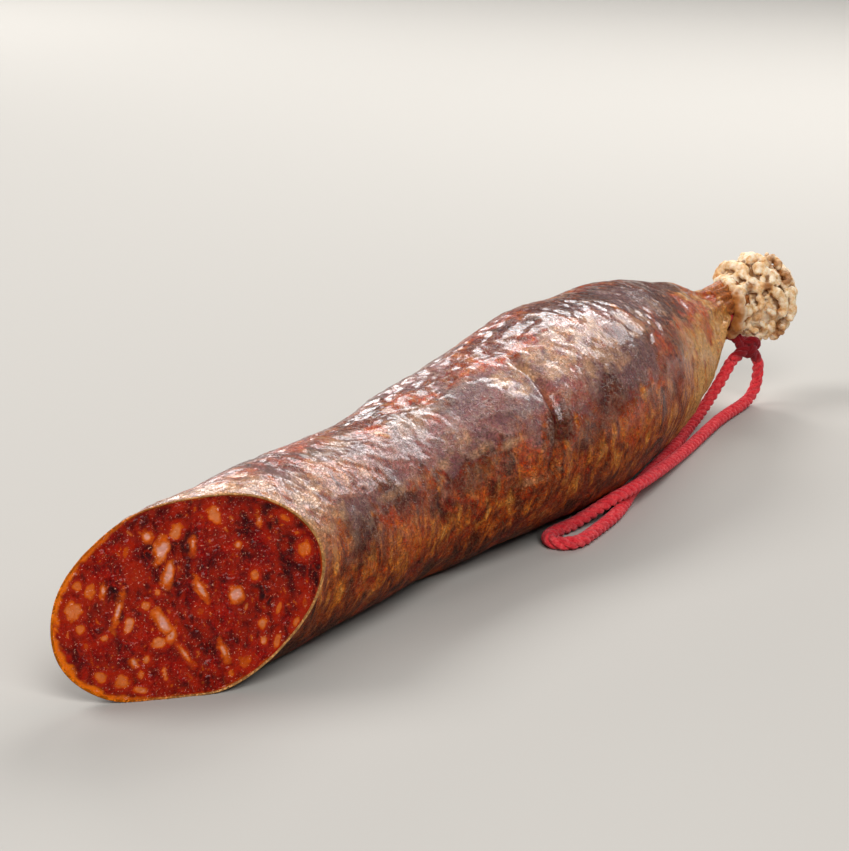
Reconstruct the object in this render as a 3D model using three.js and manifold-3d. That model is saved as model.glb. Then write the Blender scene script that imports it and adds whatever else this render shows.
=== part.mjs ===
// A cured sausage: half of one, cut across on the slant, with its gathered end and the string it hung by.
// Millimetres, +Z up, +X along the sausage to its tied end. It lies on its side, on a narrow flat.

import * as THREE from 'three';
import { mergeVertices } from 'three/addons/utils/BufferGeometryUtils.js';
import Module from 'manifold-3d';

// Places are measured from below the middle of the cut, and the whole is then centred by this much
const CENTRE_X = 141.9;
const CENTRE_Y = -0.8;

// The body, at stations along it: radius, lift of its underside, and how far its middle bends to the left
const STATION_X = [-30, 10, 50, 90, 130, 165, 195, 220, 240, 256, 266, 275];
const STATION_RADIUS = [21.4, 22.8, 22, 22.3, 25.7, 28, 26.8, 25, 21.6, 16.4, 11.3, 7.1];
const STATION_LIFT = [0, 0, 0.3, 0.2, 0.6, 0, 0.2, 0.5, 3.4, 9.2, 15.6, 22.6];
const STATION_SIDE = [0.2, 0.5, 1.5, 2.1, -2.8, -2.9, -0.8, 3.9, 5.9, 5.2, 3.8, 2];
const NECK_END = 275;
const NECK_LEAN_FROM = 246; // from here on the rings lean over to face the way the neck points
const FLAT_SINK = 0.5; // how far the round underside is pressed flat
const AROUND = 40; // facets round the body
const RINGS = [ // how far apart the rings of facets are, up to each place: closest at the creases
  { until: 30, step: 4.2 },
  { until: 111, step: 5.3 },
  { until: 134, step: 2.3 },
  { until: 236, step: 5.3 },
  { until: 273, step: 3.7 },
];

// The slanted cut
const CUT_HEIGHT = 25; // where its plane crosses the middle line
const CUT_AZIMUTH = 225.9; // its normal, in degrees from +X and up
const CUT_ELEVATION = 8.1;
const CUT_RINGS = 3; // rings of facets on the cut face
const CUT_ROUNDS = 40; // rounds that settle where the cut's plane meets the casing
const SLANT_FADE = 90; // rings along the body turn square over this length
const OVAL_FROM = 22; // the section is squeezed at the cut, and round again by the second place
const OVAL_END = 75;
const OVAL_ACROSS = 0.03; // shares of the radius: flatter across, on the slant, and at three corners
const OVAL_SLANT = 0.043;
const OVAL_CORNERS = 0.01;

// Relief of the casing. A line is a list of places: along the body, and degrees round it from its left side
const MEAN_RADIUS = 26;
const LUMP = { x: 113, turn: 140, reach: 15, top: 5, height: 1.1 };
const GROOVES = [
  { line: [[130, 110], [128.8, 135], [126.3, 159], [121, 182]], width: 1.5, depth: 1.3 },
  { line: [[33, 100], [33.4, 148], [27, 182]], width: 3.2, depth: 0.7 },
  { line: [[113, 187], [119, 183], [126, 186]], width: 1.5, depth: -0.9 },
];
const PLEATS = { count: 9, depth: 0.55, from: 226, full: 266 };
const SWELLS = [
  { height: 0.3, length: 57, turns: 2, start: 0.6 },
  { height: 0.22, length: 88, turns: -3, start: 1.9 },
  { height: 0.16, length: 34, turns: 4, start: 4.1 },
];

// The throat under the string and the casing gathered past it, measured from the end of the neck
const NECK_YAW = -18.3; // the way the neck points, in degrees from +X
const NECK_PITCH = 7;
const THROAT_PROFILE = [[2.4, 6.3], [5, 5.8], [7.9, 6.2], [8.7, 7.5], [12, 7.8]]; // along the neck, and radius
const THROAT_TIP = 14;
const GATHER_MIDDLE = 20.4; // the middle of the gathered end
const GATHER_DROOP = -0.6; // how far that hangs below the line of the neck
const GATHER_CORE = [10.4, 10.1, 11.6]; // its core: half its length, width and height
const CURL_REACH = [10.6, 10.9, 12.5]; // how far out the curls' middle lines lie, the same way
const CURL_COUNT = 17; // curls of dried casing round the core
const CURL_BACK = 1.62; // the share of the core that they cover, out of 2
const CURL_WIDTH = 0.29; // half the width of a curl's bend, as a share of the core
const CURL_TURN = 2.55; // half of each curl's arc, in radians
const CURL_TUCK = { from: 1.58, depth: 0.45 }; // where its ends start to go into the core, and how far in
const CURL_ROLL = 1.9; // how far each curl is rolled round against the one before it, in radians
const CURL_UNEVEN = { width: [0.25, 2.1], reach: [0.05, 3.7], thick: [0.11, 1.3] }; // share, and its step
const CURL_THICK = 2.25;
const CURL_SIDES = 6;
const CURL_STEPS = 8;
const COLLAR_COUNT = 7; // rolls that hang back over the string
const COLLAR_AT = 4.3; // along the neck, where they reach furthest back
const COLLAR_LEAN = 6.5; // and how much less they do on the other side
const COLLAR_FACING = 205; // in degrees round the neck from its left
const COLLAR_RADIUS = 7.9;
const COLLAR_OVERLAP = 0.62; // how far each one reaches past its own share of the ring, to either side
const COLLAR_TUCK = { from: 0.55, forward: 6, inward: 1.5 }; // how their ends are tucked away
const COLLAR_UNEVEN = { radius: [0.5, 2.3], along: [0.5, 1.7] };

// The string: red twisted cotton
const STRING_RADIUS = 1.85;
const WRAP_RADIUS = 1.5; // pulled tight where it goes round the neck
const THROAT_RADIUS = 3.1; // what is left of the neck inside the wraps
const WRAP_AT = [3.1, 5.9]; // along the neck from its end
const WRAP_STEPS = 24; // facets round a wrap
const GAP = 0.3; // between pieces that touch
const WRAP_RING = THROAT_RADIUS + GAP + WRAP_RADIUS;
const KNOT = { x: 282.2, y: -7.8, z: 19, ring: 2.5, ball: 3.5 };
const KNOT_AXES = [[0.2, 0.5, 1], [1, -0.3, 0.4]]; // the ways its two turns face
const KNOT_STEPS = 12; // facets round each of them
const STUB_REACH = 0.75; // the share of the way back to the knot's middle that a loose end goes
const LOOP_STEPS = 78;
const LOOP_SIDES = 8;

// The loop's middle line: down from the knot, along the ground under the side, round, and back up to the knot
const LOOP_ROUTE = [
  [285.9, -9.7, 14.2], [286.9, -9.3, 11.6], [287.6, -8.9, 8.6], [287, -8.5, 5.2], [284, -8.2, 2.7],
  [277, -8.7, 1.95], [267.5, -9.3, 1.95], [257, -10.3, 1.95], [246, -12, 1.95], [234.5, -13.9, 2],
  [223.5, -15.9, 2.4], [212, -18.1, 3.1], [201, -20.4, 4], [190.5, -22.4, 4.9], [180, -23.9, 5.6],
  [170.5, -24.5, 5.9], [162, -23.8, 5.5], [154, -21.8, 3.6], [146.5, -20, 2.1], [139.8, -19, 1.95],
  [134.2, -19.3, 1.95], [131, -22.2, 1.95], [131.6, -26.2, 1.95], [135.6, -28.1, 1.95], [143, -27.7, 1.95],
  [151, -26.9, 1.95], [160, -25.7, 1.95], [169, -23.6, 1.95], [178, -21, 1.95], [187, -18.8, 1.95],
  [199, -16.3, 1.95], [213, -13.6, 1.95], [227, -10.7, 1.95], [239, -7.7, 1.95], [247.5, -5.8, 2.2],
  [255, -4.7, 3.3], [261.5, -4.3, 5.5], [267, -4.5, 8.6], [271, -5.2, 12], [274.3, -6.1, 15.7],
];

const wasm = await Module();
wasm.setup();

const toRadians = THREE.MathUtils.degToRad;
const smoothstep = THREE.MathUtils.smoothstep;
const cutNormal = new THREE.Vector3(
  Math.cos(toRadians(CUT_ELEVATION)) * Math.cos(toRadians(CUT_AZIMUTH)),
  Math.cos(toRadians(CUT_ELEVATION)) * Math.sin(toRadians(CUT_AZIMUTH)),
  Math.sin(toRadians(CUT_ELEVATION)),
);

// A smooth curve through the values that the stations give
function atStation(values, x) {
  const last = STATION_X.length - 1;
  const i = Math.min(Math.max(STATION_X.findIndex((s) => s > x) - 1, 0), last - 1);
  const k = x >= STATION_X[last] ? last - 1 : i;
  const slope = (j) => {
    const a = Math.max(j - 1, 0);
    const b = Math.min(j + 1, last);
    return (values[b] - values[a]) / (STATION_X[b] - STATION_X[a]);
  };
  const span = STATION_X[k + 1] - STATION_X[k];
  const t = Math.min(Math.max((x - STATION_X[k]) / span, 0), 1);
  const u = 1 - t;
  return (
    u * u * (1 + 2 * t) * values[k] +
    t * t * (3 - 2 * t) * values[k + 1] +
    t * u * span * (u * slope(k) - t * slope(k + 1))
  );
}

// How far a place on the casing is from a line of places on it
function distanceToLine(line, x, turn) {
  let nearest = Infinity;
  for (let i = 0; i + 1 < line.length; i++) {
    const [ax, aTurn] = line[i];
    const [bx, bTurn] = line[i + 1];
    const a = new THREE.Vector2(ax, toRadians(aTurn) * MEAN_RADIUS);
    const b = new THREE.Vector2(bx, toRadians(bTurn) * MEAN_RADIUS);
    const p = new THREE.Vector2(x, turn * MEAN_RADIUS);
    const along = b.clone().sub(a);
    const share = THREE.MathUtils.clamp(p.clone().sub(a).dot(along) / along.lengthSq(), 0, 1);
    nearest = Math.min(nearest, p.distanceTo(a.addScaledVector(along, share)));
  }
  return nearest;
}

// The casing's creases, lump, pleats and low swells, as a height over the smooth body
function relief(x, turn) {
  const fromLump = Math.hypot(x - LUMP.x, (turn - toRadians(LUMP.turn)) * MEAN_RADIUS);
  let height = LUMP.height * (1 - smoothstep(fromLump, LUMP.top, LUMP.reach));
  for (const groove of GROOVES) {
    const away = distanceToLine(groove.line, x, turn) / groove.width;
    height -= groove.depth * Math.exp(-away * away);
  }
  const gathered = smoothstep(x, PLEATS.from, PLEATS.full);
  height += PLEATS.depth * gathered * Math.cos(PLEATS.count * turn + x / MEAN_RADIUS);
  for (const swell of SWELLS) {
    const phase = (2 * Math.PI * x) / swell.length + swell.turns * turn + swell.start;
    height += swell.height * (1 - gathered) * Math.sin(phase);
  }
  return height;
}

// A point of the casing, at a place along the body and an angle round it from its left side
function casingPoint(x, turn) {
  const radius = atStation(STATION_RADIUS, x);
  const squeeze =
    OVAL_ACROSS * Math.cos(2 * turn) + OVAL_SLANT * Math.sin(2 * turn) - OVAL_CORNERS * Math.sin(3 * turn);
  const round = smoothstep(x, OVAL_FROM, OVAL_END);
  const reach = radius * (1 - (1 - round) * squeeze) + relief(x, turn);
  const middle = radius + atStation(STATION_LIFT, x) - FLAT_SINK;
  return new THREE.Vector3(
    x,
    atStation(STATION_SIDE, x) + reach * Math.cos(turn),
    Math.max(middle + reach * Math.sin(turn), 0),
  );
}

// Where the cut's plane meets the casing at one angle round it
function cutPoint(turn) {
  let point = casingPoint(0, turn);
  for (let i = 0; i < CUT_ROUNDS; i++) {
    const x = -(point.y * cutNormal.y + (point.z - CUT_HEIGHT) * cutNormal.z) / cutNormal.x;
    point = casingPoint(x, turn);
  }
  return point;
}

// The rings' places along the body
function ringPlaces() {
  const places = [];
  let x = 0;
  for (const { until, step } of RINGS) {
    while (x < until) {
      places.push(x);
      x += step;
    }
  }
  return [...places, NECK_END];
}

// The angles round a ring, with a facet's edge at the bottom
function turns() {
  return Array.from({ length: AROUND }, (_, i) => (2 * Math.PI * i) / AROUND + Math.PI / 2);
}

// The neck's own frame: its origin is the middle of the neck's end, and its first axis is the way it points
const neckFrame = new THREE.Matrix4()
  .makeTranslation(
    NECK_END,
    STATION_SIDE.at(-1),
    STATION_RADIUS.at(-1) + STATION_LIFT.at(-1) - FLAT_SINK,
  )
  .multiply(new THREE.Matrix4().makeRotationZ(toRadians(NECK_YAW)))
  .multiply(new THREE.Matrix4().makeRotationY(-toRadians(NECK_PITCH)));
const neckAim = new THREE.Vector3(1, 0, 0).transformDirection(neckFrame);

// A place by its distance past the neck's end and its offsets to the left and up, with the neck upright
function neckPoint(along, left, up) {
  return new THREE.Vector3(along, left, up).applyMatrix4(neckFrame);
}

// A closed skin through rings of points that run the same way, with a point at each end
function skinGeometry(start, rings, end) {
  const count = rings[0].length;
  const points = [start, ...rings.flat(), end];
  const index = [];
  const at = (ring, i) => 1 + ring * count + (i % count);
  for (let i = 0; i < count; i++) {
    index.push(0, at(0, i + 1), at(0, i));
    index.push(points.length - 1, at(rings.length - 1, i), at(rings.length - 1, i + 1));
    for (let ring = 0; ring + 1 < rings.length; ring++) {
      index.push(at(ring, i), at(ring, i + 1), at(ring + 1, i));
      index.push(at(ring, i + 1), at(ring + 1, i + 1), at(ring + 1, i));
    }
  }
  const geometry = new THREE.BufferGeometry().setFromPoints(points);
  geometry.setIndex(index);
  return geometry;
}

// The meat in its casing, from the cut to the core of the gathered end
function bodyGeometry() {
  const angles = turns();
  const rim = angles.map(cutPoint);
  const cutMiddle = new THREE.Vector3(0, 0, CUT_HEIGHT);
  const rings = [];
  for (let i = 1; i < CUT_RINGS; i++) {
    rings.push(rim.map((p) => cutMiddle.clone().lerp(p, i / CUT_RINGS)));
  }
  for (const place of ringPlaces()) {
    const slant = Math.max(1 - place / SLANT_FADE, 0) ** 2;
    const lean = (smoothstep(place, NECK_LEAN_FROM, NECK_END) * atStation(STATION_RADIUS, place)) / neckAim.x;
    rings.push(
      rim.map((p, i) => {
        const tilt = neckAim.y * Math.cos(angles[i]) + neckAim.z * Math.sin(angles[i]);
        return casingPoint(place + p.x * slant - lean * tilt, angles[i]);
      }),
    );
  }
  for (const [along, radius] of THROAT_PROFILE) {
    rings.push(angles.map((a) => neckPoint(along, radius * Math.cos(a), radius * Math.sin(a))));
  }
  return skinGeometry(cutMiddle, rings, neckPoint(THROAT_TIP, 0, 0));
}

// The core of the gathered end
function coreGeometry() {
  const geometry = new THREE.SphereGeometry(1, 16, 10);
  geometry.scale(...GATHER_CORE);
  geometry.translate(GATHER_MIDDLE, 0, GATHER_DROOP);
  return geometry.applyMatrix4(neckFrame);
}

// An uneven amount, fixed for each numbered piece: no more than the size to either side
function uneven(number, [size, step]) {
  return size * Math.sin(number * step + 0.7);
}

// One curl of dried casing: a roll that bends round on the core, with both ends tucked into it
function curlGeometry(number) {
  const along = 1 - ((number + 0.5) * CURL_BACK) / CURL_COUNT;
  const turn = number * Math.PI * (3 - Math.sqrt(5));
  const out = Math.sqrt(1 - along * along);
  const facing = new THREE.Vector3(along, out * Math.cos(turn), out * Math.sin(turn));
  const side = new THREE.Vector3(0, 0, 1).cross(facing).normalize();
  const up = facing.clone().cross(side);
  const wide = CURL_WIDTH * (1 + uneven(number, CURL_UNEVEN.width));
  const roll = number * CURL_ROLL;
  const points = [];
  for (let i = 0; i <= CURL_STEPS; i++) {
    const bend = CURL_TURN * ((2 * i) / CURL_STEPS - 1);
    const tuck = 1 - CURL_TUCK.depth * smoothstep(Math.abs(bend), CURL_TUCK.from, CURL_TURN);
    const point = facing
      .clone()
      .addScaledVector(side, wide * Math.cos(bend + roll))
      .addScaledVector(up, wide * Math.sin(bend + roll))
      .normalize()
      .multiplyScalar(tuck * (1 + uneven(number, CURL_UNEVEN.reach)))
      .multiply(new THREE.Vector3(...CURL_REACH));
    points.push(neckPoint(GATHER_MIDDLE + point.x, point.y, GATHER_DROOP + point.z));
  }
  const thick = CURL_THICK * (1 + uneven(number, CURL_UNEVEN.thick));
  return tubeGeometry(new THREE.CatmullRomCurve3(points), thick, CURL_SIDES, CURL_STEPS);
}

// One roll of the collar that hangs back over the string, with its ends tucked into the core
function collarGeometry(number) {
  const points = [];
  for (let i = 0; i <= CURL_STEPS; i++) {
    const share = (2 * i) / CURL_STEPS - 1;
    const tuck = smoothstep(Math.abs(share), COLLAR_TUCK.from, 1);
    const turn = (2 * Math.PI * (number + COLLAR_OVERLAP * share)) / COLLAR_COUNT;
    const radius = COLLAR_RADIUS + uneven(number, COLLAR_UNEVEN.radius) - COLLAR_TUCK.inward * tuck;
    const lean = (COLLAR_LEAN * (1 - Math.cos(turn - toRadians(COLLAR_FACING)))) / 2;
    const along = COLLAR_AT + lean + uneven(number, COLLAR_UNEVEN.along) + COLLAR_TUCK.forward * tuck;
    points.push(neckPoint(along, radius * Math.cos(turn), radius * Math.sin(turn)));
  }
  return tubeGeometry(new THREE.CatmullRomCurve3(points), CURL_THICK, CURL_SIDES, CURL_STEPS);
}

// A round bar along a curve
function tubeGeometry(curve, radius, sides, steps) {
  const corners = Array.from({ length: sides }, (_, i) => {
    const angle = (2 * Math.PI * i) / sides;
    return new THREE.Vector2(radius * Math.cos(angle), radius * Math.sin(angle));
  });
  const section = new THREE.Shape(corners);
  return new THREE.ExtrudeGeometry(section, { extrudePath: curve, steps, bevelEnabled: false });
}

// A geometry as a solid that can be joined and cut, and back again
function toSolid(geometry) {
  const bare = geometry.clone();
  bare.deleteAttribute('normal');
  bare.deleteAttribute('uv');
  const merged = mergeVertices(bare, 1e-4);
  const vertProperties = new Float32Array(merged.attributes.position.array);
  const triVerts = new Uint32Array(merged.index.array);
  return new wasm.Manifold(new wasm.Mesh({ numProp: 3, vertProperties, triVerts }));
}

function toGeometry(solid) {
  const mesh = solid.getMesh();
  const geometry = new THREE.BufferGeometry();
  geometry.setAttribute('position', new THREE.BufferAttribute(new Float32Array(mesh.vertProperties), 3));
  geometry.setIndex(new THREE.BufferAttribute(new Uint32Array(mesh.triVerts), 1));
  geometry.computeVertexNormals();
  return geometry;
}

// The body alone, without crumbs that a cut leaves and pockets that a join closes in
function largestOf(solid) {
  return solid.decompose().reduce((a, b) => (a.volume() > b.volume() ? a : b));
}

// The groove that the string has pressed round the neck, with room for the wraps
function grooveSolid() {
  const from = WRAP_AT[0] - WRAP_RADIUS - GAP;
  const to = WRAP_AT[1] + WRAP_RADIUS + GAP;
  const inner = THROAT_RADIUS;
  const outer = THROAT_RADIUS + 2 * (WRAP_RADIUS + GAP);
  const corners = [[inner, from], [outer, from], [outer, to], [inner, to], [inner, from]];
  const profile = corners.map(([r, along]) => new THREE.Vector2(r, along));
  const geometry = new THREE.LatheGeometry(profile, WRAP_STEPS);
  geometry.rotateZ(-Math.PI / 2);
  return toSolid(geometry.applyMatrix4(neckFrame));
}

// Room round the knot, where the curls are pressed away
function knotRoomSolid() {
  const geometry = new THREE.SphereGeometry(KNOT.ring + STRING_RADIUS + 2 * GAP, 16, 10);
  geometry.translate(KNOT.x, KNOT.y, KNOT.z);
  return toSolid(geometry);
}

// A ring of string, with its axis along a direction
function stringRing(middle, axis, ring, thick, steps) {
  const geometry = new THREE.TorusGeometry(ring, thick, LOOP_SIDES, steps);
  geometry.applyQuaternion(new THREE.Quaternion().setFromUnitVectors(new THREE.Vector3(0, 0, 1), axis));
  geometry.translate(middle.x, middle.y, middle.z);
  return toSolid(geometry);
}

// A short straight stretch of string out of the knot, that stops a gap short of the loop
function stubSolid(end, away, room) {
  const near = end.clone().addScaledVector(away, -GAP);
  const far = near.clone().addScaledVector(away, -STUB_REACH * near.distanceTo(knotMiddle));
  return toSolid(tubeGeometry(new THREE.LineCurve3(far, near), STRING_RADIUS + room, LOOP_SIDES, 1));
}

const knotMiddle = new THREE.Vector3(KNOT.x, KNOT.y, KNOT.z);
const loopCurve = new THREE.CatmullRomCurve3(
  LOOP_ROUTE.map(([x, y, z]) => new THREE.Vector3(x, y, z)),
  false,
  'centripetal',
);

// What comes out of the knot, thicker by the room that is asked for: two leads up to the wraps, two loose ends
function leadsSolid(room) {
  let solid = stubSolid(loopCurve.getPoint(0), loopCurve.getTangent(0), room);
  solid = solid.add(stubSolid(loopCurve.getPoint(1), loopCurve.getTangent(1).negate(), room));
  for (const along of WRAP_AT) {
    const middle = neckPoint(along, 0, 0);
    const hang = knotMiddle.clone().sub(middle).projectOnPlane(neckAim).setLength(WRAP_RING);
    const lead = new THREE.LineCurve3(middle.add(hang), knotMiddle);
    solid = solid.add(toSolid(tubeGeometry(lead, WRAP_RADIUS + room, LOOP_SIDES, 1)));
  }
  return solid;
}

// The tie: two turns of string pulled tight round the neck, the knot under them and its leads are one piece
function stringTieGeometry() {
  const ball = new THREE.SphereGeometry(KNOT.ball, 10, 7);
  ball.translate(KNOT.x, KNOT.y, KNOT.z);
  let solid = toSolid(ball).add(leadsSolid(0));
  for (const along of WRAP_AT) {
    solid = solid.add(stringRing(neckPoint(along, 0, 0), neckAim, WRAP_RING, WRAP_RADIUS, WRAP_STEPS));
  }
  for (const way of KNOT_AXES) {
    const axis = new THREE.Vector3(...way).normalize();
    solid = solid.add(stringRing(knotMiddle, axis, KNOT.ring, STRING_RADIUS, KNOT_STEPS));
  }
  return toGeometry(solid);
}

// The sausage: body, neck and gathered end are one piece, pressed away where the string is
function sausageGeometry() {
  let solid = toSolid(bodyGeometry()).add(toSolid(coreGeometry()));
  for (let i = 0; i < CURL_COUNT; i++) {
    solid = solid.add(toSolid(curlGeometry(i)));
  }
  for (let i = 0; i < COLLAR_COUNT; i++) {
    solid = solid.add(toSolid(collarGeometry(i)));
  }
  const room = grooveSolid().add(knotRoomSolid()).add(leadsSolid(GAP));
  return toGeometry(largestOf(solid.subtract(room)));
}

// The rest of the string: one long loop
function stringLoopGeometry() {
  return tubeGeometry(loopCurve, STRING_RADIUS, LOOP_SIDES, LOOP_STEPS);
}

function finish(color, roughness) {
  return new THREE.MeshStandardMaterial({ color, roughness, metalness: 0 });
}

function piece(name, geometry, material) {
  const mesh = new THREE.Mesh(geometry, material);
  mesh.name = name;
  return mesh;
}

const sausage = new THREE.Group();
sausage.add(
  piece('sausage', sausageGeometry(), finish(0x7a3a24, 0.45)),
  piece('string_tie', stringTieGeometry(), finish(0xa8122c, 0.9)),
  piece('string_loop', stringLoopGeometry(), finish(0xc8203a, 0.9)),
);
sausage.position.set(-CENTRE_X, -CENTRE_Y, 0);

export default sausage;
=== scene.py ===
# A cured sausage: half of one, cut across on the slant, with its gathered end and the string it hung by.
# It is drawn as it is made: meat in its casing, the cut, the gathered end, the tie, and the string's loop.

from math import cos, pi, radians, sin, sqrt, tau

import bmesh
import bpy
import numpy as np
from mathutils import Matrix, Vector, noise


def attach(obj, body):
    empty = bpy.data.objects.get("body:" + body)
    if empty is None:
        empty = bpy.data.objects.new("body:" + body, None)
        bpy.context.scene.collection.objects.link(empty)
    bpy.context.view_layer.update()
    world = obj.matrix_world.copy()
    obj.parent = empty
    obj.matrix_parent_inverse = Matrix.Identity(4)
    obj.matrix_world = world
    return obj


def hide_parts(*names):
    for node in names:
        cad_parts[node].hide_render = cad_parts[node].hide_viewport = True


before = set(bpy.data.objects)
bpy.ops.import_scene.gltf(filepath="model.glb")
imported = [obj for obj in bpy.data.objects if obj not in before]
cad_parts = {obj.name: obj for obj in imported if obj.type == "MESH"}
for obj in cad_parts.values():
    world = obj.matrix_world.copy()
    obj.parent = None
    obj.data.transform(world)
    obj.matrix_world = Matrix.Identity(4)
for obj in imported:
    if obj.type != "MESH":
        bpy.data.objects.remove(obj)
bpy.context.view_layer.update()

# The photograph's view: a long lens, a little above the sausage, looking along it from its cut end
MM = 0.001
VIEW_FROM = (-642.1, -358.1, 238.2)
VIEW_HEADING = 30.73  # degrees from +X
VIEW_TILT = -16.0
LENS = 122.7

camera = bpy.data.objects.new("camera", bpy.data.cameras.new("camera"))
camera.location = Vector(VIEW_FROM) * MM
camera.rotation_euler = (radians(90 + VIEW_TILT), 0, radians(VIEW_HEADING - 90))
camera.data.lens = LENS
camera.data.sensor_width = 36
camera.data.clip_start = 0.01
bpy.context.collection.objects.link(camera)
bpy.context.scene.camera = camera


# The casing: a natural gut, stuffed at about 50 mm with coarse red meat and hung until it shrank on to it.
# It is one tube that swells and pinches along its length, creased across where it was folded, and drawn into
# pleats towards the neck. It is made in rings, like the part's own solid, and dries in fine wrinkles.

CENTRE = np.array([141.9, -0.8, 0])  # lengths along the sausage are counted from below the middle of the cut
STATION_X = [-30, 10, 50, 90, 130, 165, 195, 220, 240, 256, 266, 275]
STATION_RADIUS = [21.4, 22.8, 22, 22.3, 25.7, 28, 26.8, 25, 21.6, 16.4, 11.3, 7.1]
STATION_LIFT = [0, 0, 0.3, 0.2, 0.6, 0, 0.2, 0.5, 3.4, 9.2, 15.6, 22.6]
STATION_SIDE = [0.2, 0.5, 1.5, 2.1, -2.8, -2.9, -0.8, 3.9, 5.9, 5.2, 3.8, 2]
NECK_END = 275
NECK_LEAN_FROM = 246
NECK_YAW = -18.3
NECK_PITCH = 7
FLAT_SINK = 0.5
FLAT_EASE = 0.6  # how softly the round side turns into the flat that it rests on
MEAN_RADIUS = 26
OVAL_FROM, OVAL_END = 22, 75  # it is squeezed oval at the cut, and round again by the second place
OVAL_ACROSS, OVAL_SLANT, OVAL_CORNERS = 0.03, 0.043, 0.01  # shares of the radius
CUT_HEIGHT = 25
CUT_AZIMUTH = 225.9
CUT_ELEVATION = 8.1
CUT_REACH = 25  # from the middle of the cut to its rim
CUT_ROUNDS = 40  # rounds that settle where the cut's plane meets the casing
SLANT_FADE = 90  # the rings turn from the cut's slant to square over this length

LUMP = (113, 140, 15, 5, 1.1)  # place, degrees round, reach, flat top, height
GROOVES = [  # the line that each runs along, its width and its depth
    ([(130, 110), (128.8, 135), (126.3, 159), (121, 182)], 1.5, 1.5),
    ([(33, 100), (33.4, 148), (27, 182)], 3.2, 0.7),
    ([(113, 187), (119, 183), (126, 186)], 1.5, -0.9),
    ([(129, 118), (140, 124), (150, 117)], 1.4, 0.45),
    ([(108, 158), (112, 166), (119, 172)], 1.6, 0.5),
    ([(84, 92), (96, 101), (112, 98)], 2.0, 0.5),
    ([(118, 88), (134, 97), (152, 93)], 1.8, 0.5),
    ([(52, 118), (60, 131), (63, 150)], 1.8, 0.35),
]
PLEATS = (9, 0.55, 226, 266)  # number, depth, and the places where they start and are full
SWELLS = [(0.3, 57, 2, 0.6), (0.22, 88, -3, 1.9), (0.16, 34, 4, 4.1)]  # height, length, turns, start
RING_STEP = 0.76
AROUND = 260


def smooth(x, low, high):
    t = np.clip((x - low) / (high - low), 0, 1)
    return t * t * (3 - 2 * t)


def at_station(values, x):
    """The smooth curve through the values that the stations give"""
    stations, values = np.array(STATION_X, float), np.array(values, float)
    slopes = np.empty(len(values))
    slopes[1:-1] = (values[2:] - values[:-2]) / (stations[2:] - stations[:-2])
    slopes[0] = (values[1] - values[0]) / (stations[1] - stations[0])
    slopes[-1] = (values[-1] - values[-2]) / (stations[-1] - stations[-2])
    k = np.clip(np.searchsorted(stations, x, "right") - 1, 0, len(values) - 2)
    span = stations[k + 1] - stations[k]
    t = np.clip((x - stations[k]) / span, 0, 1)
    u = 1 - t
    start, end = values[k], values[k + 1]
    bend = t * u * span * (u * slopes[k] - t * slopes[k + 1])
    return u * u * (1 + 2 * t) * start + t * t * (3 - 2 * t) * end + bend


def to_line(line, x, turn):
    """How far places on the casing are from a line of places on it"""
    nearest = np.full(np.shape(x), 1e3)
    for (ax, a_turn), (bx, b_turn) in zip(line, line[1:]):
        ay, by = radians(a_turn) * MEAN_RADIUS, radians(b_turn) * MEAN_RADIUS
        dx, dy = bx - ax, by - ay
        share = np.clip(((x - ax) * dx + (turn * MEAN_RADIUS - ay) * dy) / (dx * dx + dy * dy), 0, 1)
        away = np.hypot(x - ax - share * dx, turn * MEAN_RADIUS - ay - share * dy)
        nearest = np.minimum(nearest, away)
    return nearest


def low_relief(x, turn):
    """The lump, creases, pleats and low swells, as a height over the smooth body"""
    place, round_at, reach, top, height = LUMP
    from_lump = np.hypot(x - place, (turn - radians(round_at)) * MEAN_RADIUS)
    relief = height * (1 - smooth(from_lump, top, reach))
    for line, width, depth in GROOVES:
        relief -= depth * np.exp(-((to_line(line, x, turn) / width) ** 2))
    count, depth, start, full = PLEATS
    gathered = smooth(x, start, full)
    relief += depth * gathered * np.cos(count * turn + x / MEAN_RADIUS)
    relief += 0.5 * depth * gathered * np.cos(2.6 * count * turn + 2.2 * np.sin(3 * turn) + x / 9)
    for height, length, turns, begin in SWELLS:
        relief += height * (1 - gathered) * np.sin(tau * x / length + turns * turn + begin)
    return relief


def casing_point(x, turn):
    """A point of the casing in mm, at a place along it and an angle round it from its left side"""
    radius = at_station(STATION_RADIUS, x)
    squeeze = OVAL_ACROSS * np.cos(2 * turn) + OVAL_SLANT * np.sin(2 * turn) - OVAL_CORNERS * np.sin(3 * turn)
    reach = radius * (1 - (1 - smooth(x, OVAL_FROM, OVAL_END)) * squeeze) + low_relief(x, turn)
    middle = radius + at_station(STATION_LIFT, x) - FLAT_SINK
    side = at_station(STATION_SIDE, x) + reach * np.cos(turn)
    height = middle + reach * np.sin(turn)
    resting = (height + np.sqrt(height * height + FLAT_EASE**2)) / 2 - FLAT_EASE / 8
    return np.stack([x, side, np.maximum(resting, 0)], axis=-1)


def direction(azimuth, elevation):
    a, e = radians(azimuth), radians(elevation)
    return np.array([cos(e) * cos(a), cos(e) * sin(a), sin(e)])


cut_normal = direction(CUT_AZIMUTH, CUT_ELEVATION)
cut_middle = np.array([0, 0, CUT_HEIGHT])
cut_side = np.cross([0, 0, 1], cut_normal) / np.linalg.norm(np.cross([0, 0, 1], cut_normal))
cut_up = np.cross(cut_normal, cut_side)


def rim_points(turn):
    """Where the cut's plane meets the casing"""
    x = np.zeros_like(turn)
    for _ in range(CUT_ROUNDS):
        point = casing_point(x, turn)
        x = -(point[:, 1] * cut_normal[1] + (point[:, 2] - CUT_HEIGHT) * cut_normal[2]) / cut_normal[0]
    return casing_point(x, turn)


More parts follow.
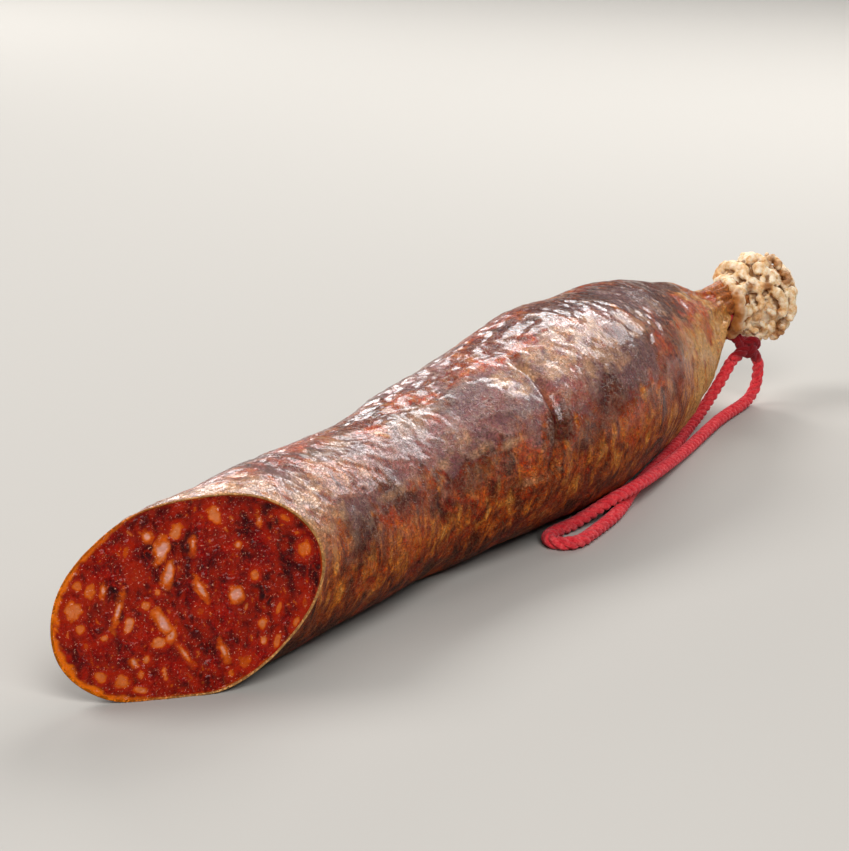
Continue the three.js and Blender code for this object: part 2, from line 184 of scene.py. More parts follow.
neck_frame = (
    Matrix.Translation((NECK_END, STATION_SIDE[-1], STATION_RADIUS[-1] + STATION_LIFT[-1] - FLAT_SINK))
    @ Matrix.Rotation(radians(NECK_YAW), 4, "Z")
    @ Matrix.Rotation(-radians(NECK_PITCH), 4, "Y")
)
neck_aim = np.array(neck_frame.to_3x3().col[0])


def neck_points(points):
    """Places given by their distance past the neck's end and their offsets to its left and up"""
    turned = np.array(points, float) @ np.array(neck_frame.to_3x3()).T
    return turned + np.array(neck_frame.translation)


def sample(points, size, depth=3):
    """Smooth noise at places in mm, with features of about that size"""
    found = [noise.fractal(Vector(p) / size, 1.0, 2.0, depth) for p in points.reshape(-1, 3)]
    return np.array(found).reshape(points.shape[:-1])


WRINKLE_SEED = 7  # the same wrinkles each run: unseeded, noise_vector takes its offsets from the clock
noise.seed_set(WRINKLE_SEED)


def ridges(points, size, warp):
    """Sharp-backed wrinkles at places in mm, from 0 between them to 1 along their backs"""
    found = []
    for p in points.reshape(-1, 3):
        v = Vector(p) / size
        found.append(1 - abs(noise.noise(v + warp * noise.noise_vector(v * 0.45))) * 2.4)
    return np.clip(np.array(found), 0, 1).reshape(points.shape[:-1])


def grid_normals(points):
    """Outward normals of a grid of points that closes round its second side"""
    along = np.gradient(points, axis=0)
    across = np.roll(points, -1, axis=1) - np.roll(points, 1, axis=1)
    normals = np.cross(across, along)
    return normals / np.maximum(np.linalg.norm(normals, axis=-1, keepdims=True), 1e-9)


def mesh_piece(name, points, faces, material, **layers):
    """A smooth mesh object from points in mm, with a named value at each point for each layer"""
    mesh = bpy.data.meshes.new(name)
    mesh.from_pydata([tuple(p) for p in (np.asarray(points, float) - CENTRE) * MM], [], faces)
    mesh.polygons.foreach_set("use_smooth", [True] * len(mesh.polygons))
    for layer, values in layers.items():
        attribute = mesh.attributes.new(layer, "FLOAT", "POINT")
        attribute.data.foreach_set("value", np.asarray(values, float).ravel())
    mesh.materials.append(material)
    mesh.validate()
    piece = bpy.data.objects.new(name, mesh)
    bpy.context.collection.objects.link(piece)
    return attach(piece, "root")


def grid_faces(rows, columns):
    """Faces between rings of points, with a point before the first ring and one after the last"""
    faces = []
    for i in range(columns):
        j = (i + 1) % columns
        faces.append((0, 1 + j, 1 + i))
        last = 1 + (rows - 1) * columns
        faces.append((rows * columns + 1, last + i, last + j))
        for row in range(rows - 1):
            a = 1 + row * columns
            faces.append((a + i, a + j, a + columns + j, a + columns + i))
    return faces


def linear(hex_colour, alpha=1.0):
    """An sRGB hex colour as the linear colour that a shader takes"""
    channels = [int(hex_colour[i : i + 2], 16) / 255 for i in (1, 3, 5)]
    return (*[c / 12.92 if c <= 0.04045 else ((c + 0.055) / 1.055) ** 2.4 for c in channels], alpha)


def add(tree, kind, settings, inputs, out=0):
    """Adds a node with its settings, gives its inputs values or links, and returns one of its outputs"""
    node = tree.nodes.new("ShaderNode" + kind)
    for name, value in settings.items():
        if name == "stops":
            elements = node.color_ramp.elements
            while len(elements) < len(value):
                elements.new(1)
            for element, (place, colour) in zip(elements, value):
                element.position = place
                element.color = linear(colour)
        else:
            setattr(node, name, value)
    for name, value in inputs.items():
        if isinstance(value, bpy.types.NodeSocket):
            tree.links.new(value, node.inputs[name])
        else:
            node.inputs[name].default_value = value
    return node.outputs[out]


def per_mm(size):
    """The scale of a pattern whose features are that many mm across"""
    return 1 / (size * MM)


def new_material(name, sockets):
    """A material, its node tree and its shader, with the values that are the same all over the surface"""
    material = bpy.data.materials.new(name)
    material.use_nodes = True
    tree = material.node_tree
    shader = tree.nodes["Principled BSDF"]
    for socket, value in sockets.items():
        shader.inputs[socket].default_value = value
    return material, tree, shader


# Patches on the casing: place along it, degrees round it, reach along and round, and how strong each is
BLOOM_AND_GLARE = [  # dull violet patches where the dried casing stands off the meat, made paler by painted glare along the top
    (114, 131, 14, 12, 1.0), (131, 125, 8, 7, 0.9), (46, 138, 9, 8, 0.7), (73, 130, 13, 9, 0.9),
    (94, 134, 10, 8, 0.9), (172, 126, 10, 10, 0.8), (147, 128, 13, 8, 0.75), (136, 142, 9, 7, 0.6),
    (169, 142, 11, 9, 0.8), (199, 112, 15, 7, 0.6), (60, 116, 12, 6, 0.5), (30, 128, 6, 14, 0.5),
    (112, 62, 16, 12, 0.8), (166, 55, 14, 10, 0.8), (70, 40, 14, 10, 0.7),
]
EMBER = [  # orange-red patches, where fat stained with paprika lies right under it
    (76, 97, 6, 8, 1.0), (125, 97, 6, 7, 1.0), (113, 87, 7, 7, 0.9), (113, 162, 4, 5, 0.8),
    (136, 84, 4, 8, 1.0), (97, 100, 5, 4, 0.8), (240, 134, 10, 5, 1.0),
    (211, 139, 10, 6, 0.9), (160, 176, 9, 6, 0.6), (96, 91, 9, 4, 0.7), (144, 104, 11, 4, 0.9),
    (233, 126, 9, 6, 0.9), (188, 150, 8, 6, 0.8), (272, 105, 6, 7, 1.0), (66, 185, 8, 5, 0.5),
    (150, 60, 12, 8, 0.8), (200, 40, 14, 8, 0.8), (52, 75, 9, 6, 0.7), (230, 60, 10, 8, 0.7),
    (166, 112, 10, 4, 0.7), (138, 152, 6, 7, 0.7), (178, 160, 8, 5, 0.6), (56, 156, 5, 6, 0.6),
    (20, 152, 3, 4, 0.7), (240, 150, 6, 6, 0.7), (92, 122, 8, 3, 0.5), (252, 108, 8, 6, 0.8),
]
DARK = [  # lean meat close under it
    (44, 152, 9, 7, 1.0), (126, 158, 6, 5, 1.0), (195, 104, 24, 8, 1.0), (176, 139, 11, 6, 0.8),
    (86, 108, 11, 5, 0.9), (152, 152, 10, 6, 0.8), (140, 167, 8, 4, 0.6), (213, 124, 13, 8, 1.0),
    (60, 106, 10, 5, 0.9), (106, 112, 10, 4, 0.9), (166, 94, 22, 6, 0.9), (40, 60, 12, 10, 0.8),
    (98, 148, 9, 4, 0.6), (60, 144, 9, 4, 0.7), (226, 108, 10, 8, 0.9), (134, 88, 12, 5, 0.8),
    (62, 146, 5, 6, 1.0), (94, 158, 8, 5, 0.7), (172, 146, 7, 5, 1.0), (158, 148, 5, 5, 0.9),
    (32, 108, 7, 6, 0.7), (202, 146, 8, 6, 0.7), (78, 86, 12, 5, 0.8), (116, 140, 7, 2.5, 0.9),
    (150, 160, 20, 5, 0.6), (44, 168, 9, 4, 0.6), (186, 158, 12, 4, 0.5), (240, 100, 12, 9, 0.9),
    (112, 86, 10, 5, 0.7), (214, 104, 14, 7, 0.7), (76, 164, 8, 4, 0.4),
]
RIBS = [(168, 139, 13, 11, 1.0), (205, 118, 9, 5, 0.6)]
PALE_FAT_AND_GLARE = [  # cream patches where clean fat lies right under it, and painted glare near the top
    (145, 121, 24, 5, 1.0), (153, 133, 13, 5, 0.7), (50, 108, 7, 5, 0.35), (88, 109, 10, 4, 0.5),
    (30, 138, 9, 9, 0.9), (216, 152, 9, 4, 0.9), (70, 148, 12, 2, 0.6), (109, 155, 5, 1.8, 0.8),
    (99, 150, 4, 1.4, 0.6), (94, 138, 5, 5, 0.7), (182, 128, 10, 4, 0.7), (118, 181, 7, 1.0, 0.45),
    (178, 60, 16, 8, 0.6), (120, 45, 20, 7, 0.5), (208, 124, 5, 3, 0.5), (62, 96, 6, 4, 0.6),
    (40, 122, 6, 5, 0.6),
]
PATCH_EDGE = (0.88, 1.25)  # where a patch starts to fade and where it has gone, as shares of its reach


def patches(places, x, turn, wander):
    """How much of these patches there is at each place, with ragged edges"""
    total = np.zeros_like(x)
    for place, round_at, along, across, strength in places:
        away = np.hypot((x - place) / along, (turn - radians(round_at)) * MEAN_RADIUS / across)
        total = np.maximum(total, strength * (1 - smooth(away + wander, *PATCH_EDGE)))
    return total


turns = tau * np.arange(AROUND) / AROUND + pi / 2
rim = rim_points(turns)
places = np.arange(0, NECK_END, RING_STEP)
rows, leans = [], []
for place in [*places, NECK_END]:
    slant = max(1 - place / SLANT_FADE, 0) ** 2
    lean = smooth(place, NECK_LEAN_FROM, NECK_END) * at_station(STATION_RADIUS, place) / neck_aim[0]
    tilt = neck_aim[1] * np.cos(turns) + neck_aim[2] * np.sin(turns)
    leans.append(place + rim[:, 0] * slant - lean * tilt)
    rows.append(casing_point(leans[-1], turns))
body = np.array(rows)
along_body = np.array(leans)
around_body = np.broadcast_to(np.mod(turns, tau), along_body.shape)
past_cut = along_body - rim[:, 0]

# The wrinkles: folds, and finer ones between them, that are drawn out along the pleats towards the neck
FOLD_SIZE, WRINKLE_SIZE = 7, 2.6
DRAWN_OUT_FROM, DRAWN_OUT = 215, 0.45
stretch = np.where(along_body > DRAWN_OUT_FROM, DRAWN_OUT, 1.0)[..., None] * np.array([1, 0, 0]) + [0, 1, 1]
wander = sample(body, 9, 4)
frayed = wander + 0.45 * sample(body + 90, 3, 4)
folds = ridges(body * stretch, FOLD_SIZE, 1.4)
wrinkles = ridges(body * stretch + 40, WRINKLE_SIZE, 1.2)
edge_calm = smooth(past_cut, 0.4, 4)
lying = smooth(body[..., 2], 0.2, 5)
crinkle = (0.26 * (folds - 0.55) + 0.16 * (wrinkles - 0.5) + 0.35 * wander) * edge_calm * lying
body = body + grid_normals(body) * crinkle[..., None]

# Past the neck's end the casing goes in under the string, but on top its pleats bulge out over the string and
# hide it: the place, the radius where it goes in, and the radius where it bulges
NECK_TUCK = [
    (0.7, 6.9, 7.2), (1.4, 6.2, 7.3), (2.1, 4.9, 7.4), (2.6, 3.8, 7.5), (3.1, 3.5, 7.5), (5.9, 3.5, 7.7),
    (7.6, 4.6, 7.9), (10, 5.5, 7.9),
]
BULGE_FACING = 112  # degrees round the neck
bulging = smooth(np.cos(turns - radians(BULGE_FACING)), 0.12, 0.5)
pleat_waves = 0.5 * np.cos(9 * turns + 1.2) + 0.35 * np.cos(17 * turns)
throat = []
for place, tucked, proud_radius in NECK_TUCK:
    radius = tucked + bulging * (proud_radius + pleat_waves - tucked)
    ring = [np.full(AROUND, place), radius * np.cos(turns), radius * np.sin(turns)]
    throat.append(neck_points(np.stack(ring, axis=1)))
CASING_THICK = 0.42
SET_BACK = 1.2  # how far behind the cut its edge is closed, out of sight
inner_rim = cut_middle + (rim - cut_middle) * (1 - CASING_THICK / CUT_REACH)
lip_back = inner_rim - cut_normal * SET_BACK
proud = 0.16 + 0.3 * sample(rim, 5)
body[0] += cut_normal * proud[:, None]
inner_rim = inner_rim + cut_normal * proud[:, None]
points = np.concatenate(
    [[cut_middle - cut_normal * SET_BACK], lip_back, inner_rim, body.reshape(-1, 3)]
    + throat + [neck_points([(12, 0, 0)])]
)
casing_rows = 2 + len(body) + len(throat)


def with_ends(values, first=0.0, last=0.0):
    """A layer for the whole casing: a value or ring before the body, one at each of its points, one after"""
    before = np.broadcast_to(first, AROUND)
    after = np.full(AROUND * len(throat) + 1, last)
    return np.concatenate([before[:1], before, before, np.ravel(values), after])


top = np.sin(around_body)
toward_neck = smooth(along_body - 28 * smooth(top, 0.3, 0.95), 185, 238)
near_cut = 1 - smooth(past_cut, 5, 26)
tan = np.clip(smooth(-top, -0.62, 0.12) * 0.9 + 0.9 * toward_neck + 0.6 * near_cut + 1.3 * frayed - 0.1, 0, 1)
ember = patches(EMBER, along_body, around_body, 0.7 * frayed)
# bloom patches, partly real bloom and partly painted glare
bloom = patches(BLOOM_AND_GLARE, along_body, around_body, 0.6 * frayed)
dark = patches(DARK, along_body, around_body, 0.8 * frayed)
# painted highlight: paler on the crests of the wrinkles and folds along the top
crest_highlight = np.clip(wrinkles * 0.7 + folds * 0.5 - 0.62, 0, 1) * smooth(top, -0.3, 0.5)
cut_edge = 1 - smooth(past_cut, 0.05, 0.5)
# painted highlight: a cream band along the top just behind the cut, where glare falls, joined by the cream
# patches
cream = (1 - smooth(past_cut + 16 * wander, 6, 20)) * smooth(top, 0.1, 0.7)
cream = np.maximum(cream, patches(PALE_FAT_AND_GLARE, along_body, around_body, 0.8 * frayed))
gloss = smooth(top + 0.25 * wander, -0.15, 0.7) * (0.62 + 0.38 * smooth(past_cut, 45, 90))
# lighter golden gut towards the neck, and painted shade that darkens the lower half, under the body
gold = toward_neck - 0.9 * smooth(-top, 0.2, 0.95) * (1 - toward_neck)
# painted light: the left of the cut's rim, where the casing's edge is painted a lit orange
left_side = np.broadcast_to(smooth((rim - cut_middle) @ -cut_side, -4, 18), along_body.shape)
ribbed = patches(RIBS, along_body, around_body, 0.6 * wander)


LEAN_THROUGH_GUT = [
    (0.36, "#340604"), (0.44, "#701408"), (0.52, "#b4340e"), (0.60, "#d06222"), (0.70, "#eaa262"),
]
GOLDEN_GUT = [
    (0.35, "#421006"), (0.43, "#862c0a"), (0.51, "#be5214"), (0.60, "#e8862c"), (0.72, "#ffba66"),
]
STAINED_FAT = [(0.3, "#9c1c04"), (0.5, "#dc4606"), (0.7, "#f08820")]
RIB_SPACING = 1.1


def dried_natural_casing():
    """Gut dried on to the meat: lean and fat show through it, and its wrinkles break up its gloss"""
    material, tree, shader = new_material("dried_natural_casing", {"IOR": 1.45, "Coat Roughness": 0.08})
    names = ("tan", "ember", "dark", "bloom", "pale", "edge", "lit", "cream", "ribs", "gloss", "gold")
    shown = {name: add(tree, "Attribute", {"attribute_name": name}, {}, "Fac") for name in names}
    where = add(tree, "TexCoord", {}, {}, "Object")
    blend = {"data_type": "RGBA"}

    # Lean meat seen through the gut, in blotches 11 mm across
    blotches = {"Scale": per_mm(11), "Detail": 6, "Roughness": 0.66, "Distortion": 1.2}
    spots = add(tree, "TexNoise", {}, {"Vector": where, **blotches})
    lean = add(tree, "ValToRGB", {"stops": LEAN_THROUGH_GUT}, {"Fac": spots})

    # Dry golden gut on the underside and at the neck, in flecks 7 mm long that run round the body, lighter
    # towards the neck, with painted shade darkening it on the lower half
    squeezed = add(tree, "VectorMath", {"operation": "MULTIPLY"}, {0: where, 1: (2.0, 0.9, 0.9)})
    flecks = {"Scale": per_mm(7), "Detail": 6, "Roughness": 0.66, "Distortion": 0.8}
    spots = add(tree, "TexNoise", {}, {"Vector": squeezed, **flecks})
    spots = add(tree, "Math", {"operation": "MULTIPLY_ADD"}, {0: shown["gold"], 1: 0.22, 2: spots})
    golden = add(tree, "ValToRGB", {"stops": GOLDEN_GUT}, {"Fac": spots})
    colour = add(tree, "Mix", blend, {"Factor": shown["tan"], 6: lean, 7: golden}, 2)

    # Fat stained orange, lean lying close under the gut, and dull violet where the gut stands off the meat,
    # paled by painted glare
    spots = add(tree, "TexNoise", {}, {"Vector": where, "Scale": per_mm(2.4), "Detail": 4, "Roughness": 0.6})
    stained = add(tree, "ValToRGB", {"stops": STAINED_FAT}, {"Fac": spots})
    colour = add(tree, "Mix", blend, {"Factor": shown["ember"], 6: colour, 7: stained}, 2)
    for layer, strength, hue in (("dark", 0.88, "#4c0604"), ("bloom", 0.7, "#9c6c70")):
        share = add(tree, "Math", {"operation": "MULTIPLY"}, {0: shown[layer], 1: strength})
        colour = add(tree, "Mix", blend, {"Factor": share, 6: colour, 7: linear(hue)}, 2)

    # Wrinkles about 1.6 mm apart, as in a drying film: painted shade in the valleys between them, a painted
    # highlight on their backs and on the crests along the top, and painted shade in the grain's pits
    crumpled = {"Scale": per_mm(1.6), "Detail": 2, "Roughness": 0.5, "Distortion": 2.4}
    crumple = add(tree, "TexNoise", {}, {"Vector": where, **crumpled})
    off_line = add(tree, "Math", {"operation": "SUBTRACT"}, {0: crumple, 1: 0.5})
    off_line = add(tree, "Math", {"operation": "ABSOLUTE"}, {0: off_line})
    back = {"Value": off_line, "From Min": 0.085, "From Max": 0.0}
    wrinkle = add(tree, "MapRange", {"interpolation_type": "SMOOTHSTEP"}, back)
    valley_shade = add(tree, "MapRange", {}, {"Value": off_line, "From Min": 0.1, "From Max": 0.2, "To Max": 0.3})
    colour = add(tree, "Mix", blend, {"Factor": valley_shade, 6: colour, 7: linear("#3c0e08")}, 2)
    grained = {"Scale": per_mm(0.8), "Detail": 4, "Roughness": 0.7, "Distortion": 0.5}
    fine = add(tree, "TexNoise", {}, {"Vector": where, **grained})
    for layer, strength, hue in ((wrinkle, 0.6, "#e0a070"), (shown["pale"], 1.0, "#dcb89a")):
        share = add(tree, "Math", {"operation": "MULTIPLY"}, {0: layer, 1: fine})
        share = add(tree, "Math", {"operation": "MULTIPLY"}, {0: share, 1: strength})
        colour = add(tree, "Mix", blend, {"Factor": share, 6: colour, 7: linear(hue)}, 2)
    # painted shade in the low spots of the fine grain
    pit_shade = add(tree, "ValToRGB", {"stops": [(0.38, "#3a2c2a"), (0.5, "#ffffff")]}, {"Fac": fine})
    darken = {"data_type": "RGBA", "blend_type": "MULTIPLY"}
    colour = add(tree, "Mix", darken, {"Factor": 0.5, 6: colour, 7: pit_shade}, 2)

    # Clean fat in cream flecks 4 mm across, and the casing's cut edge, with painted light: a glowing orange
    # on its lit left side, pale tan elsewhere
    fleck = add(tree, "TexNoise", {}, {"Vector": where, "Scale": per_mm(4), "Detail": 5, "Roughness": 0.65})
    clear = {"Value": fleck, "From Min": 0.4, "From Max": 0.58, "To Min": 0.05, "To Max": 0.85}
    fleck = add(tree, "MapRange", {}, clear)
    # clean fat flecks, and painted glare where the cream band lies
    share = add(tree, "Math", {"operation": "MULTIPLY"}, {0: shown["cream"], 1: fleck})
    colour = add(tree, "Mix", blend, {"Factor": share, 6: colour, 7: linear("#e8ac7c")}, 2)
    edge = add(tree, "Mix", blend, {"Factor": shown["lit"], 6: linear("#d89a5c"), 7: linear("#ea7a14")}, 2)
    colour = add(tree, "Mix", blend, {"Factor": shown["edge"], 6: colour, 7: edge}, 2)
    tree.links.new(colour, shader.inputs["Base Color"])

    # Ribs round the body in the two patches where the gut dried over tight folds, then wrinkles and grain
    along = add(tree, "SeparateXYZ", {}, {"Vector": where}, "X")
    along = add(tree, "Math", {"operation": "MULTIPLY"}, {0: along, 1: tau * per_mm(RIB_SPACING)})
    bent = add(tree, "TexNoise", {}, {"Vector": where, "Scale": per_mm(9), "Detail": 1})
    along = add(tree, "Math", {"operation": "MULTIPLY_ADD"}, {0: bent, 1: 26.0, 2: along})
    ribs = add(tree, "Math", {"operation": "SINE"}, {0: along})
    ribs = add(tree, "Math", {"operation": "MULTIPLY"}, {0: ribs, 1: shown["ribs"]})
    normal = add(tree, "Bump", {}, {"Strength": 1, "Distance": 0.1 * MM, "Height": ribs})
    for height, strength, distance in ((wrinkle, 1, 0.75), (fine, 0.8, 0.04)):
        bump = {"Strength": strength, "Distance": distance * MM, "Height": height, "Normal": normal}
        normal = add(tree, "Bump", {}, bump)
    tree.links.new(normal, shader.inputs["Normal"])

    # The film of fat that came through the gut: it shines along the top, and has rubbed off low down
    dull = add(tree, "MapRange", {}, {"Value": shown["gloss"], "To Min": 0.45, "To Max": 0.2})
    shine = add(tree, "MapRange", {}, {"Value": shown["gloss"], "To Min": 0.04, "To Max": 0.5})
    film = add(tree, "Math", {"operation": "MULTIPLY"}, {0: shown["gloss"], 1: 0.3})
    for socket, share in (("Roughness", dull), ("Specular IOR Level", shine), ("Coat Weight", film)):
        tree.links.new(share, shader.inputs[socket])
    return material


casing = mesh_piece(
    "casing", points, grid_faces(casing_rows, AROUND), dried_natural_casing(),
    tan=with_ends(tan, 0.3, 1.0), ember=with_ends(ember, 0.9, 0.6), dark=with_ends(dark, 0, 0.3),
    bloom=with_ends(bloom), pale=with_ends(crest_highlight), edge=with_ends(cut_edge, 1.0),
    lit=with_ends(left_side, left_side[0]), cream=with_ends(cream), ribs=with_ends(ribbed),
    gloss=with_ends(gloss, 0, 0.3), gold=with_ends(gold, 0, 1.0),
)
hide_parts("sausage")


# The cut: coarse lean meat, red with paprika, and cubes of back fat, pressed together and cut with a knife.
# The fat has stained orange round its edges, and the face has a fine grain that glistens. It is set into the
# casing, whose edge shows round it as a thin line.

FAT = [  # across the face, up it, width, length, lean in degrees, and how orange it is
    (-5.5, 8.6, 3.1, 5.8, 72, 0.05), (-8.6, 11.8, 1.8, 2.3, 87, 0.1), (-4.2, 3.0, 2.3, 5.8, 72, 0.1),
    (-2.0, 12.6, 3.2, 4.6, 67, 0.3), (6.8, 15.6, 3.4, 6.4, 117, 0.35), (10.9, -2.9, 3.6, 3.7, 87, 0.1),
    (15.4, 1.1, 2.5, 3.4, 87, 0.45), (27.0, 6.0, 3.9, 5.4, 87, 0.5), (26.6, -6.1, 2.5, 5.2, 77, 0.8),
    (20.6, -6.8, 1.5, 4.8, 72, 0.5), (24.4, -10.3, 1.8, 3.9, 67, 0.5), (19.8, -14.3, 1.9, 5.0, 72, 0.4),
    (12.1, -18.3, 4.9, 4.6, 57, 0.7), (8.9, -20.8, 2.0, 2.6, 87, 0.5), (-6.1, -7.9, 2.5, 6.9, 121, 0.05),
    (-4.3, -10.9, 2.1, 3.2, 67, 0.1), (-9.6, -3.7, 3.0, 3.0, 87, 0.45), (-13.7, -7.7, 2.5, 4.7, 72, 0.25),
    (-15.9, -4.2, 1.0, 5.4, 72, 0.05), (-19.0, 0.6, 1.1, 2.6, 87, 0.1), (-22.0, 0.5, 3.4, 5.3, 72, 0.5),
    (-26.0, -3.5, 5.6, 5.8, 87, 0.4), (-24.7, 2.0, 3.0, 2.8, 87, 0.45), (-24.6, -7.9, 2.8, 3.0, 87, 0.45),
    (-7.0, -12.4, 3.8, 3.4, 87, 0.3), (-20.5, -19.0, 3.4, 3.3, 87, 0.4), (-15.9, -20.4, 4.6, 4.5, 87, 0.45),
    (-12.0, -22.6, 3.7, 2.1, 77, 0.3), (-23.4, -11.7, 2.1, 2.4, 87, 0.8), (-10.2, -15.8, 1.8, 2.4, 87, 0.3),
    (-13.0, -16.2, 1.3, 2.4, 116, 0.15), (-1.5, -15.3, 1.0, 5.6, 121, 0.2), (-6.1, -19.6, 1.1, 3.8, 97, 0.3),
    (-0.5, -20.6, 1.1, 4.3, 121, 0.8), (16.7, -10.0, 2.4, 3.0, 87, 0.3), (16.7, -14.0, 1.6, 2.5, 87, 0.3),
    (7.4, -15.5, 1.2, 3.6, 112, 0.1), (22.9, 13.6, 2.2, 4.0, 132, 0.6), (16.9, 13.9, 0.9, 1.8, 97, 0.0),
    (-13.5, 8.8, 2.1, 3.6, 62, 0.7), (2.6, -6.1, 3.2, 3.2, 87, 0.8), (3.1, -1.1, 1.4, 4.3, 117, 0.1),
    (-11.6, 3.4, 4.2, 5.2, 87, 0.9), (-3.1, -8.0, 1.8, 4.6, 102, 0.9), (-6.9, -0.9, 1.7, 2.1, 87, 0.4),
    (-19.2, -10.2, 2.3, 1.6, 106, 0.35), (1.6, 9.3, 0.8, 2.2, 87, 0.1), (25.4, 10.0, 1.6, 1.2, 87, 0.5),
    (-11.5, -19.3, 1.7, 2.8, 87, 0.4), (-1.1, 18.0, 2.0, 1.5, 87, 0.9), (11.8, 8.4, 1.4, 1.6, 87, 0.15),
]
BLUNTNESS = 2.1  # how boxy a piece of fat is: 2 is an ellipse
CRUMB_COUNT = 210
CRUMB_STRENGTH = 0.65
FACE_AROUND = 360
FACE_RINGS = 96
FACE_OVERLAP = 0.06  # how far the face reaches in under the casing's edge
FACE_BACK = SET_BACK - 0.1

face_turns = tau * np.arange(FACE_AROUND) / FACE_AROUND + pi / 2
face_share = 1 - (CASING_THICK - FACE_OVERLAP) / CUT_REACH
face_rim = cut_middle + (rim_points(face_turns) - cut_middle) * face_share
shares = np.linspace(0, 1, FACE_RINGS + 1)[1:] ** 0.8
face = cut_middle + shares[:, None, None] * (face_rim - cut_middle)[None]
across = (face - cut_middle) @ cut_side
upward = (face - cut_middle) @ cut_up
to_edge = (1 - shares)[:, None] * np.linalg.norm(face_rim - cut_middle, axis=1)[None]
flat = np.stack([across, upward, np.zeros_like(across)], axis=-1)
ragged = sample(flat, 1.6, 3)
broad = sample(flat + 70, 5, 2)
fibres = ridges(flat * np.array([1, 0.55, 1]) + 20, 1.1, 1.6)

rng = np.random.default_rng(7)
fat, orange, halo = np.zeros_like(across), np.zeros_like(across), np.zeros_like(across)
crumbs = []
for _ in range(CRUMB_COUNT):
    angle, out = rng.uniform(0, tau), sqrt(rng.uniform(0.02, 0.93))
    spot = (face_rim[int(angle / tau * FACE_AROUND) % FACE_AROUND] - cut_middle) * out
    width = rng.uniform(0.25, 0.85)
    length, lean, hue = width * rng.uniform(1, 4.5), rng.uniform(60, 140), rng.uniform(0.3, 1)
    crumbs.append((spot @ cut_side, spot @ cut_up, width, length, lean, hue))
for i, (u, v, width, length, lean, hue) in enumerate(FAT + crumbs):
    a = radians(lean)
    du, dv = across - u, upward - v
    long_way = (du * cos(a) + dv * sin(a)) / (length / 2)
    wide_way = (dv * cos(a) - du * sin(a)) / (width / 2)
    blunt = (np.abs(long_way) ** BLUNTNESS + np.abs(wide_way) ** BLUNTNESS) ** (1 / BLUNTNESS)
    away = (blunt - 1) * min(width, length) / 2 + 0.5 * ragged + 0.45 * broad - 0.5
    strength = 1.0 - 0.12 * hue if i < len(FAT) else CRUMB_STRENGTH
    inside = strength * (1 - smooth(away, -0.5, 0.3))
    rimmed = hue + (0.6 + 0.3 * hue) * smooth(blunt + 0.3 * ragged, 0.4, 1.05)
    orange = np.where(inside > fat, rimmed, orange)
    fat = np.maximum(fat, inside)
    halo = np.maximum(halo, (0.4 + 0.6 * hue) * strength * (1 - smooth(away, -0.1, 1.1)))

# Under the casing the meat is stained orange, most of all at the left, and threads of fat run through it
stain_reach = 0.5 + 1.9 * smooth(-across - 0.5 * upward, -14, 24)
halo = np.maximum(halo, 0.95 * (1 - smooth(to_edge / stain_reach + 0.6 * broad, 0.5, 1.6)))
left = smooth(-across - 0.1 * upward, 6, 27)
band = (0.3 + 0.7 * left) * (1 - smooth(to_edge / (0.3 + 0.85 * left) + 1.1 * broad + 0.5 * ragged, 0.5, 1.5))
threads = smooth(ridges(flat * np.array([1, 0.5, 1]) + 30, 1.7, 2.0), 0.5, 0.95)
threads = threads * smooth(broad, -0.3, 0.25) * (1 - fat)
# painted shade: the lean darker towards the top and the right of the face, with a random tone over it
deep = smooth(sample(flat + 140, 12, 2) + 0.02 * upward + 0.012 * across, -0.2, 0.5)

grain = 0.22 * (fibres - 0.5) + 0.3 * ragged + 0.12 * fat - 0.12 * halo
grain = grain * smooth(to_edge, 0.0, 0.8) - 0.12
face = face + cut_normal * grain[..., None]
back = face_rim - cut_normal * FACE_BACK
face_points = np.concatenate(
    [[face[0].mean(axis=0)], face.reshape(-1, 3), back, [cut_middle - cut_normal * FACE_BACK]]
)


def face_layer(values):
    """A layer for the whole face from its values on the rings that show"""
    return np.concatenate([[values[0].mean()], values.ravel(), np.zeros(FACE_AROUND + 1)])


LEAN = [(0.36, "#2a0205"), (0.44, "#480305"), (0.51, "#6e0505"), (0.59, "#960803"), (0.68, "#b81c03")]
FAT_STAIN = [(0.0, "#f0aa9a"), (0.28, "#e8844a"), (0.55, "#e26408"), (0.9, "#ae2204")]


